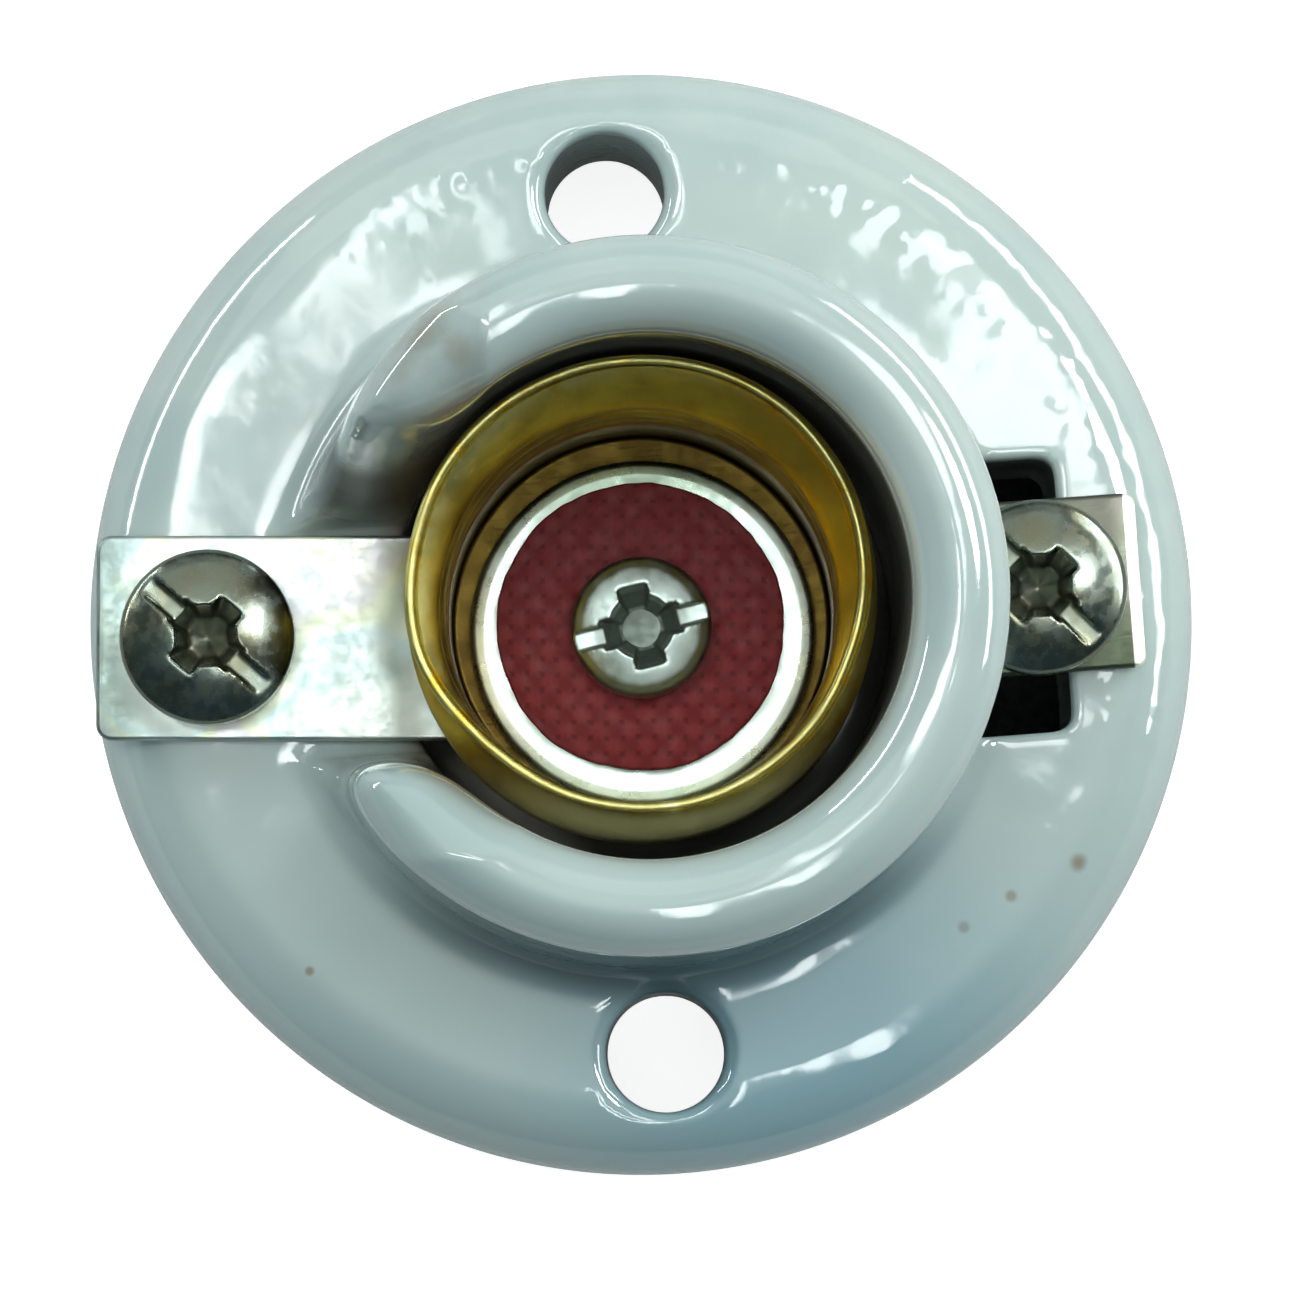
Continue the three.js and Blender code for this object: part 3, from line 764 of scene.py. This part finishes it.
# %% Skin, soften and settle the body
remesh(holder, 0.2, 8)
at = coordinates(holder)
above_base = np.clip((at[:, 2] - BASE_TOP - 0.4) / 1.5, 0, 1)
on_left = np.clip((-4.5 - at[:, 0]) / 1.0, 0, 1)
near = np.zeros(len(at))
for foot_y, lip_y in zip(NOTCH_FOOT, NOTCH_LIP):
    side = foot_y + (lip_y - foot_y) * (at[:, 2] - BASE_TOP) / (COLLAR_TOP - BASE_TOP)
    near = np.maximum(near, np.clip((3.2 - np.abs(at[:, 1] - side)) / 2.0, 0, 1))
relax(holder, above_base * on_left * near, 220)
at = coordinates(holder)
LEAN = 0.02
at[:, 0] += LEAN * np.maximum(at[:, 2] - BASE_TOP, 0)
place(holder, at)
finish_piece(holder, "glazed_body", porcelain, "holder", "porcelain_body", sharp=60)

# %% [markdown]
# ## The screw shell
# The shell is rolled from thin brass, so its wall follows the thread inside and out. It could be a
# swept thread profile, but a grid is simpler: at each bearing a closed loop runs up the inside, over
# the rim and down the outside, and the radius comes from one formula for the helix. The thread runs out
# at the rim, which is opened outwards over half its length.

# %% The thread as a formula
PITCH = 2.822
CREST_R = 6.2
ROOT_R = 7.05
WALL = 0.35
THREAD_FROM = 11.1
CREST_AT = math.radians(261)
FLANGE_R = 4.95
WALL_FROM = SHELL_FOOT + 0.75


def smooth(t):
    u = min(max(t, 0.0), 1.0)
    return u * u * (3 - 2 * u)


def shell_radius(angle, z):
    """Inside radius of the rolled sheet at one bearing and height. The rim flares, but not all round."""
    phase = (z - SHELL_TOP) / PITCH - (angle - CREST_AT) / (2 * math.pi)
    thread = 0.5 - 0.5 * math.cos(2 * math.pi * phase)
    grown = smooth((z - THREAD_FROM) / 1.1)
    turn = math.degrees(angle) % 360
    if turn < 180:
        opened = smooth((turn + 25) / 70)
    else:
        opened = max(1 - smooth((turn - 184) / 40), smooth((turn - 335) / 70))
    flare = 0.48 * opened * smooth((z - SHELL_TOP + 1.5) / 1.5) ** 2
    return CREST_R + (ROOT_R - CREST_R) * grown * thread + flare


# %% Roll the shell
AROUND = 288
levels = list(np.linspace(WALL_FROM, THREAD_FROM, 14)[:-1])
levels += list(np.arange(THREAD_FROM, SHELL_TOP - 0.08, 0.12))
points = []
for j in range(AROUND):
    angle = 2 * math.pi * j / AROUND
    ragged = 0.05 * noise.noise(Vector((math.cos(angle) * 6, math.sin(angle) * 6, 0.3)))
    dented = 0.05 * noise.noise(Vector((math.cos(angle) * 2.5, math.sin(angle) * 2.5, 7.0)))
    floor_z = SHELL_FOOT + WALL
    loop = [(FLANGE_R, floor_z)]
    loop += eased([(FLANGE_R, floor_z, 0), (CREST_R, floor_z, 0.3), (CREST_R, WALL_FROM, 0)])[1:-1]
    for z in levels:
        lift = smooth((z - SHELL_TOP + 2) / 2)
        loop.append((shell_radius(angle, z) + dented * lift, z + ragged * lift))
    rim_r = shell_radius(angle, SHELL_TOP) + dented + WALL / 2
    rim_z = SHELL_TOP - WALL / 2 + ragged - 0.05
    for a in np.linspace(math.pi, 0, 7):
        loop.append((rim_r + WALL / 2 * math.cos(a), rim_z + WALL / 2 * math.sin(a)))
    for z in reversed(levels):
        lift = smooth((z - SHELL_TOP + 2) / 2)
        loop.append((shell_radius(angle, z) + dented * lift + WALL, z + ragged * lift))
    wall_r = CREST_R + WALL
    loop += eased([(wall_r, WALL_FROM, 0), (wall_r, SHELL_FOOT, 0.5), (FLANGE_R, SHELL_FOOT, 0)])[1:]
    points += [(r * math.cos(angle), r * math.sin(angle), z) for r, z in loop]
count = len(loop)
faces = []
for j in range(AROUND):
    here, there = j * count, ((j + 1) % AROUND) * count
    for i in range(count):
        n = (i + 1) % count
        faces.append((here + i, there + i, there + n, here + n))
shell = body_of_faces(points, faces)
finish_piece(shell, "rolled_shell", brass, "holder", "screw_shell", sharp=50)

# %% [markdown]
# ## Straps
# The strip for the contact is sheared to length and bent twice. It could be an extruded outline with a
# bend modifier. Instead a rounded cross-section is swept along the bent centre line, narrowed at the
# ends to round its corners and thinned there to roll the sheared edge over, because that edge is what
# catches the light.

# %% Strip maker
def bent_line(corners, bend, end_steps):
    """Points along a line of (x, z) corners, bent with this radius, closer together at its ends."""
    line = eased([(x, z, bend) for x, z in corners], steps=10)
    first = Vector(line[1]) - Vector(line[0])
    last = Vector(line[-2]) - Vector(line[-1])
    start = [tuple(Vector(line[0]) + first.normalized() * s) for s in end_steps]
    end = [tuple(Vector(line[-1]) + last.normalized() * s) for s in reversed(end_steps)]
    return start + line[1:-1] + end


def strip_metal(corners, thickness, bend, y0, y1, corner, edge, roll):
    """A strip of metal from y0 to y1, bent along (x, z) corners, its ends rolled over a little."""
    steps = [corner * (1 - math.cos(t)) for t in np.linspace(0, math.pi / 2, 9)]
    steps += [corner + 0.6]
    line = [Vector(p) for p in bent_line(corners, bend, steps)]
    length = sum((b - a).length for a, b in zip(line, line[1:]))
    middle, half = (y0 + y1) / 2, (y1 - y0) / 2
    rows, run = [], 0.0
    for i, here in enumerate(line):
        if i:
            run += (here - line[i - 1]).length
        along = (line[min(i + 1, len(line) - 1)] - line[max(i - 1, 0)]).normalized()
        across = Vector((-along.y, along.x))
        to_end = min(run, length - run)
        narrow = corner - math.sqrt(max(corner ** 2 - max(corner - to_end, 0) ** 2, 0))
        thin = max(roll - to_end, 0) * 0.65
        w, t = half - narrow, thickness / 2 - thin
        e = min(edge, t)
        section = []
        for sy, st in ((1, 1), (-1, 1), (-1, -1), (1, -1)):
            turns = np.linspace(0, math.pi / 2, 4)
            quarter = [(sy * (w - e + e * math.cos(a)), st * (t - e + e * math.sin(a))) for a in turns]
            section += quarter if sy * st > 0 else quarter[::-1]
        rows.append([
            (here.x + across.x * n, middle + s, here.y + across.y * n) for s, n in section
        ])
    count = len(rows[0])
    points = [p for row in rows for p in row]
    faces = [list(range(count)), list(range(len(points) - count, len(points)))]
    for i in range(len(rows) - 1):
        for k in range(count):
            n = (k + 1) % count
            faces.append([i * count + k, i * count + n, (i + 1) * count + n, (i + 1) * count + k])
    return body_of_faces(points, faces)


# %% Make the contact strip
BEND_R = 0.65
STRIP_END = -3.3
RISE_X = 10.65
middle_low = strip_low.z + METAL / 2
middle_high = BASE_TOP + METAL / 2
strip = strip_metal(
    [(STRIP_END, middle_low), (RISE_X, middle_low), (RISE_X, middle_high), (strip_high.x, middle_high)],
    METAL, BEND_R, strip_low.y, strip_high.y, corner=0.34, edge=0.16, roll=0.33,
)
finish_piece(strip, "contact_strap", dull_zinc, "holder", "contact_strip", sharp=50)

# %% [markdown]
# The shell's strap lies flat on the base, goes down between the shell and the bore, and ends in a ring
# under the shell. Its tail is a plate whose inner end is cut to the curve of the shell. Most of the leg
# and ring are hidden, so they are plain pieces joined to the tail. The whole strap sits a few degrees
# askew.

# %% Make the shell's strap
def flat_ring(inner, outer, z0, z1, centre, edge, segments=128):
    """A washer shape with rounded edges."""
    outline = eased([(inner, z0, edge), (outer, z0, edge), (outer, z1, edge), (inner, z1, edge)], True, 4)
    return turned(outline, segments, centre, closed=True)


RING_HOLE_R = 2.7
RING_R = 5.65
RING_AT = (0.03, -0.28)
TAIL_END = -17.6
STRAP_TURN = math.radians(-4.1)
STRAP_SPAN = (-3.95, 2.67)
LEG_SPAN = (-2.54, 1.26)
CURVE_R = 6.75
curve = [
    (-CURVE_R * math.cos(a), CURVE_R * math.sin(a))
    for a in np.linspace(math.asin(STRAP_SPAN[0] / CURVE_R), math.asin(STRAP_SPAN[1] / CURVE_R), 24)
]
tail_corners = [(TAIL_END, STRAP_SPAN[1], 0.5), (TAIL_END, STRAP_SPAN[0], 0.5)]
tail_outline = eased(tail_corners + [(x, y, 0) for x, y in curve], True)
tail = prism(tail_outline, BASE_TOP, BASE_TOP + METAL)
rounding = tail.modifiers.new("rounding", "BEVEL")
rounding.width = 0.13
rounding.segments = 3
rounding.limit_method = "ANGLE"
rounding.angle_limit = math.radians(50)
settle(tail)
leg = prism(rectangle(-7.45, -6.75, *LEG_SPAN, 0.12), BORE_FLOOR + 0.1, BASE_TOP + METAL - 0.1)
foot = prism(rectangle(-7.4, -3.6, *LEG_SPAN, 0.12), BORE_FLOOR, BORE_FLOOR + METAL)
ring_end = flat_ring(RING_HOLE_R, RING_R, BORE_FLOOR, BORE_FLOOR + METAL, RING_AT, 0.1)
shell_strap = joined("shell_strap", [tail, leg, foot, ring_end])
shell_strap.data.transform(Matrix.Rotation(STRAP_TURN, 4, "Z"))
finish_piece(
    shell_strap, "shell_strap", bright_zinc, "holder", "shell_terminal_strap", sharp=50,
)

# %% [markdown]
# ## The clamping ring
# A plated ring lies on the shell's inward flange and clamps it. It is turned from one outline, and the
# upper outer edge gets a wide round that carries a bright line.

# %% Make the clamping ring
clamp_ring = turned(eased([
    (RING_HOLE_R, ring_low.z, 0.05), (RING_R, ring_low.z, 0.2), (RING_R, ring_high.z - 0.05, 0.26),
    (5.2, ring_high.z, 0.6), (RING_HOLE_R, ring_high.z, 0.1),
], True, 6), 192, RING_AT, closed=True)
finish_piece(clamp_ring, "plated_ring", ring_zinc, "holder", "clamping_ring", sharp=60)

# %% [markdown]
# ## The laminate disc
# The disc was punched from sheet, so its edge is slightly ragged. It is a turned ring whose outer
# radius wavers a little with the bearing. A displace modifier could do that too, but would move the
# flat faces as well.

# %% Make the disc
DISC_AT = (-0.03, -0.12)
DISC_HOLE_R = 1.5
DISC_R = 4.74
disc = flat_ring(DISC_HOLE_R, DISC_R, disc_low.z, disc_high.z, DISC_AT, 0.08, 360)
at = coordinates(disc)
bearing = np.arctan2(at[:, 1] - DISC_AT[1], at[:, 0] - DISC_AT[0])
outward = np.hypot(at[:, 0] - DISC_AT[0], at[:, 1] - DISC_AT[1])
for i in np.nonzero(outward > 3)[0]:
    a = bearing[i]
    fray = 0.075 * noise.noise(Vector((math.cos(a) * 2.2, math.sin(a) * 2.2, 2.0)))
    fray += 0.03 * noise.noise(Vector((math.cos(a) * 11, math.sin(a) * 11, 5.0)))
    at[i, :2] *= 1 + (fray - 0.04) / outward[i]
place(disc, at)
finish_piece(disc, "laminate_disc", laminate, "holder", "insulating_disc")

# %% [markdown]
# ## Screws, washers and nut
# A pan head is turned, then cut with a cross recess and a slot. Cold-headed screws have soft edges, so
# the head gets the same voxel skin as the body, at a much finer pitch. The thread on the shank is a
# grid like the shell's, because it shows when a terminal is loosened.

# %% Screw maker
def thread_rod(radius, pitch, z0, z1, around=48):
    """A shank with a cut thread, closed by a flat end."""
    depth = 0.6 * pitch
    rows = np.arange(z0, z1 + 1e-6, pitch / 8)
    points = []
    for z in rows:
        for k in range(around):
            a = 2 * math.pi * k / around
            phase = (z / pitch - k / around) % 1.0
            groove = depth * max(0.0, 1 - abs(phase - 0.5) * 2.6)
            lead = 0.25 * smooth((z0 + 0.5 - z) / 0.5)
            r = radius - groove - lead
            points.append((r * math.cos(a), r * math.sin(a), z))
    faces = [list(range(around)), list(range(len(points) - around, len(points)))]
    for i in range(len(rows) - 1):
        for k in range(around):
            n = (k + 1) % around
            faces.append([i * around + k, i * around + n, (i + 1) * around + n, (i + 1) * around + k])
    return body_of_faces(points, faces)


def pan_screw(centre, turn, seat, tip, head_r, head_h, dome, recess_r, slot_deep, shank_r, pitch, voxel):
    """A pan head screw with a cross recess and a slot. The head rests at seat, the shank ends at tip."""
    crown = [
        (r, seat + head_h - r * r / (2 * dome), 0) for r in np.linspace(head_r * 0.84, 0.0, 14)
    ]
    edge_z = crown[0][1] - 0.12 * head_h
    profile = [(0, seat), (head_r - 0.08, seat), (head_r, seat + 0.08)]
    profile += eased([(head_r, seat + 0.2, 0), (head_r, edge_z, 0.35), crown[0], crown[1]])[:-1]
    profile += [(r, z) for r, z, _ in crown[1:]]
    head = turned(profile, 96)
    top = seat + head_h
    floor = top - recess_r * 1.12
    cutters = []
    for quarter in (0, math.pi / 2):
        cutters.append(wedge(
            (-recess_r * 0.50, recess_r * 0.50, -recess_r * 0.22, recess_r * 0.22),
            (-recess_r * 1.02, recess_r * 1.02, -recess_r * 0.36, recess_r * 0.36),
            floor, top + 0.15, quarter,
        ))
    cutters.append(turned(
        [(0, floor - 0.35), (recess_r * 0.45, floor), (recess_r * 0.76, top + 0.15), (0, top + 0.15)], 32,
    ))
    cutters.append(wedge((-4, 4, -0.30, 0.30), (-4, 4, -0.42, 0.42), top - slot_deep, top + 0.3))
    carve(head, cutters)
    remesh(head, voxel, 9)
    screw = joined("screw", [head, thread_rod(shank_r, pitch, tip, seat + 0.2)])
    screw.data.transform(Matrix.Translation((*centre, 0)) @ Matrix.Rotation(turn, 4, "Z"))
    return screw


# %% Make the three screws
CLAMP = 0.6
HEAD_SEAT = BASE_TOP + METAL + CLAMP
for side, centre, turn in (("left", LEFT_SCREW, -45), ("right", RIGHT_SCREW, -48)):
    screw = pan_screw(
        centre, math.radians(turn), HEAD_SEAT, 4.3, head_r=2.82, head_h=2.2, dome=4.6, recess_r=1.42,
        slot_deep=0.72, shank_r=1.45, pitch=0.5, voxel=0.06,
    )
    finish_piece(
        screw, f"{side}_pan_screw", screw_steel, f"{side}_screw", f"{side}_terminal_screw",
    )
contact = pan_screw(
    CONTACT_SCREW, math.radians(10), disc_high.z, 0.3, head_r=2.3, head_h=1.8, dome=6.5, recess_r=1.45,
    slot_deep=0.5, shank_r=1.25, pitch=0.45, voxel=0.05,
)
finish_piece(
    contact, "centre_contact_screw", contact_steel, "holder", "contact_screw",
)

# %% [markdown]
# A thin washer under each terminal head clamps the wire and rises with its screw. The hex nut under the
# base holds the contact screw. It could be turned with six segments, but an outline with rounded
# corners gives it worn flats, and one more cutter chamfers its lower corners.

# %% Make the clamp washers and the nut
for side, centre in (("left", LEFT_SCREW), ("right", RIGHT_SCREW)):
    clamp = flat_ring(1.6, 2.8, BASE_TOP + METAL, HEAD_SEAT, centre, 0.14)
    finish_piece(
        clamp, f"{side}_clamp_washer", screw_steel, f"{side}_clamp",
        f"{side}_terminal_washer",
    )
nut_low, nut_high = box_mm("contact_nut")
flats = (nut_high.x - nut_low.x) / 2
corner_r = flats / math.cos(math.pi / 6)
nut_x, nut_y = CONTACT_SCREW
corners = [
    (nut_x + corner_r * math.cos(a), nut_y + corner_r * math.sin(a), 0.12)
    for a in np.radians(np.arange(30, 390, 60))
]
nut = prism(eased(corners, True, 3), nut_low.z, nut_high.z)
bore = [(0, nut_low.z - 1), (1.3, nut_low.z - 1), (1.3, nut_high.z + 1), (0, nut_high.z + 1)]
chamfer = [
    (flats, nut_low.z - 1), (flats + 2, nut_low.z - 1), (flats + 2, nut_low.z + 1.05), (flats, nut_low.z),
]
carve(nut, [turned(bore, 48, CONTACT_SCREW), turned(chamfer, 96, CONTACT_SCREW, closed=True)])
finish_piece(nut, "hex_nut", dull_zinc, "holder", "contact_nut")

# %% [markdown]
# ## Floor, light and camera
# The object lies on pale paper. A plain plane would do from above, but would leave the underside dark,
# so the paper is open under the base and clear when seen from below. A round of paper lies under each
# fixing hole. The paper glows where the camera sees it, so a black sheet under the slot paints the slot in
# shade.

# %% Floor
def clear_from_below(tree, shader):
    """Makes the lower face of a sheet clear, so that it never hides the underside of the object."""
    clear = node(tree, "ShaderNodeBsdfTransparent")
    side = node(tree, "ShaderNodeNewGeometry").outputs["Backfacing"]
    mix = node(tree, "ShaderNodeMixShader", i0=side, i1=shader.outputs[0], i2=clear.outputs[0])
    output = next(n for n in tree.nodes if n.type == "OUTPUT_MATERIAL")
    tree.links.new(mix.outputs[0], output.inputs["Surface"])


def lay_sheet(name, points, faces, finish):
    """Lays a flat sheet, given by points in millimetres, under the object."""
    mesh = bpy.data.meshes.new(name)
    mesh.from_pydata([tuple(v * MM for v in point) for point in points], [], faces)
    sheet = bpy.data.objects.new(name, mesh)
    bpy.context.scene.collection.objects.link(sheet)
    sheet.data.materials.append(finish)
    print("laid", name, "with", len(faces), "faces")


paper, tree, shader = new_finish("pale_paper")
grain = mask_of(tree, mottle, Size=40.0)
tree.links.new(
    blend(tree, grain, (0.50, 0.50, 0.50, 1), (0.53, 0.53, 0.53, 1)), shader.inputs["Base Color"],
)
shader.inputs["Roughness"].default_value = 0.9
shader.inputs["Emission Color"].default_value = (1, 1, 1, 1)
seen = node(tree, "ShaderNodeLightPath").outputs["Is Camera Ray"]
tree.links.new(times(tree, seen, 0.85), shader.inputs["Emission Strength"])
clear_from_below(tree, shader)
PAPER_Z = -0.03
around = [(math.cos(t), math.sin(t)) for t in np.linspace(0, 2 * math.pi, 65)[:-1]]
rounds = [(0, 0, 17.3), (0, 0, 3000)] + [(x, y, 2.4) for x, y in HOLE_CENTRES]
points = [(x + c * r, y + s * r, PAPER_Z) for x, y, r in rounds for c, s in around]
faces = [(i, 64 + i, 64 + (i + 1) % 64, (i + 1) % 64) for i in range(64)]
faces += [list(range(128, 192)), list(range(192, 256))]
lay_sheet("floor", points, faces, paper)

# Painted shade: a black sheet under the slot keeps the glowing paper from showing through it.
painted_slot_shade, tree, shader = new_finish("painted_slot_shade")
fluff = mask_of(tree, mottle, Size=0.4)
tree.links.new(
    blend(tree, fluff, (0.015, 0.016, 0.016, 1), (0.03, 0.032, 0.032, 1)), shader.inputs["Base Color"],
)
shader.inputs["Roughness"].default_value = 1.0
clear_from_below(tree, shader)
SHADE_SHEET_Z = -0.01
outline = rectangle(8.6, 15.2, -4.9, 4.9, 0.6)
lay_sheet("slot_shade_sheet", [(x, y, SHADE_SHEET_Z) for x, y in outline], [list(range(len(outline)))], painted_slot_shade)

# %% [markdown]
# Glaze and plating show little colour of their own: they show the lamps and the room. One large soft
# lamp would light everything evenly, but would leave no highlights. Two long low lamps, at the right
# and the back left, put long reflections on the base's rim. A window stands at the back, and small
# ceiling lamps make the soft spots on the collar's crown. The bench lamp lights no matt surface: it
# only puts a glint on the screw heads.

# %% Lamps
def lamp(name, azimuth, elevation, distance, size, power, colour=(1, 1, 1), round_lamp=False):
    """A soft lamp aimed at the object. Azimuth turns from +X towards +Y, in degrees."""
    a, e = math.radians(azimuth), math.radians(elevation)
    data = bpy.data.lights.new(name, "AREA")
    data.shape = "ELLIPSE" if round_lamp else "RECTANGLE"
    data.size, data.size_y = size
    data.energy = power
    data.color = colour
    made = bpy.data.objects.new(name, data)
    made.location = Vector((math.cos(a) * math.cos(e), math.sin(a) * math.cos(e), math.sin(e))) * distance
    made.rotation_mode = "QUATERNION"
    made.rotation_quaternion = made.location.to_track_quat("Z", "Y")
    bpy.context.scene.collection.objects.link(made)
    return made


lamp("rim_lamp_right", 22, 23, 0.60, (0.75, 0.12), 3.4, (0.96, 1.0, 0.97))
lamp("rim_lamp_left", 143, 15, 0.60, (0.42, 0.035), 1.4, (0.94, 1.0, 1.0))
lamp("window", 97, 46, 0.90, (0.95, 0.60), 1.7, (0.98, 1.0, 0.92))
bench_lamp = lamp("bench_lamp", 18, 54, 0.50, (0.15, 0.13), 1.3, (1.0, 1.0, 0.98), True)
bench_lamp.visible_diffuse = False
CEILING_LAMPS = ((40, 0.08, 8), (112, 0.02, 9), (145, 0.045, 12), (298, 0.026, 11), (275, 0.022, 11))
CEILING_LONG = 0.22
for azimuth, wide, bright in CEILING_LAMPS:
    power = bright * math.pi * wide * CEILING_LONG * 0.785
    lamp(f"ceiling_lamp_{azimuth}", azimuth, 73, 0.5, (wide, CEILING_LONG), power, (0.95, 1.0, 1.0), True)
print("lamps:", len(bpy.data.lights))

# %% [markdown]
# The room is a gradient from a dim horizon to a bright ceiling, dimmer on the near side. It is pale
# beneath, so the underside is lit. A panorama would do this too, but its lamps could not be placed.

# %% Surroundings
ROOM_STOPS = (
    (0.0, (0.12, 0.17, 0.20, 1)), (0.45, (0.10, 0.145, 0.165, 1)), (0.80, (0.14, 0.19, 0.20, 1)),
    (0.97, (1.10, 1.20, 1.12, 1)),
)
CEILING_TONE = (1.30, 1.42, 1.34, 1)
NEAR_TONE = (0.07, 0.115, 0.135, 1)
LOWER_TONE = (0.80, 0.84, 0.85, 1)
world = bpy.data.worlds.new("studio")
bpy.context.scene.world = world
world.use_nodes = True
tree = world.node_tree
sky = node(tree, "ShaderNodeTexCoord")
rise = node(tree, "ShaderNodeSeparateXYZ", Vector=sky.outputs["Generated"])
tone = node(tree, "ShaderNodeValToRGB", Fac=rise.outputs["Z"])
for height, colour in ROOM_STOPS:
    tone.color_ramp.elements.new(height).color = colour
tone.color_ramp.elements.remove(tone.color_ramp.elements[0])
tone.color_ramp.elements[-1].color = CEILING_TONE
near_side = between(tree, rise.outputs["Y"], 0.0, -0.45)
light = blend(tree, near_side, tone.outputs[0], NEAR_TONE)
beneath = between(tree, rise.outputs["Z"], -0.02, -0.15)
background = next(n for n in tree.nodes if n.type == "BACKGROUND")
tree.links.new(blend(tree, beneath, light, LOWER_TONE), background.inputs["Color"])
background.inputs["Strength"].default_value = 1.0
print("room nodes:", len(tree.nodes))

# %% [markdown]
# The camera looks almost straight down through a long lens, a little from the front and rolled a few
# degrees. A near camera with a short lens would see more of the shell's wall, but would let the collar
# hide the base.

# %% Camera
ROLL = math.radians(4.1)
LENS = 254.9
camera_data = bpy.data.cameras.new("camera")
camera = bpy.data.objects.new("camera", camera_data)
bpy.context.scene.collection.objects.link(camera)
stand = Vector((-0.35, -15.8, BASE_TOP + 300)) * MM
aim = Vector((0.37, -1.21, BASE_TOP)) * MM
view_line = (aim - stand).normalized()
right = view_line.cross(Vector((math.sin(ROLL), math.cos(ROLL), 0))).normalized()
upward = right.cross(view_line)
camera.matrix_world = Matrix.Translation(stand) @ Matrix((right, upward, -view_line)).transposed().to_4x4()
camera_data.sensor_fit = "HORIZONTAL"
camera_data.sensor_width = 36
camera_data.lens = LENS
camera_data.clip_start = 0.01
camera_data.clip_end = 10
bpy.context.scene.camera = camera
bpy.context.scene.view_settings.view_transform = "Standard"
bpy.context.scene.view_settings.look = "None"
print("camera", tuple(round(v, 4) for v in camera.location), "lens", LENS)
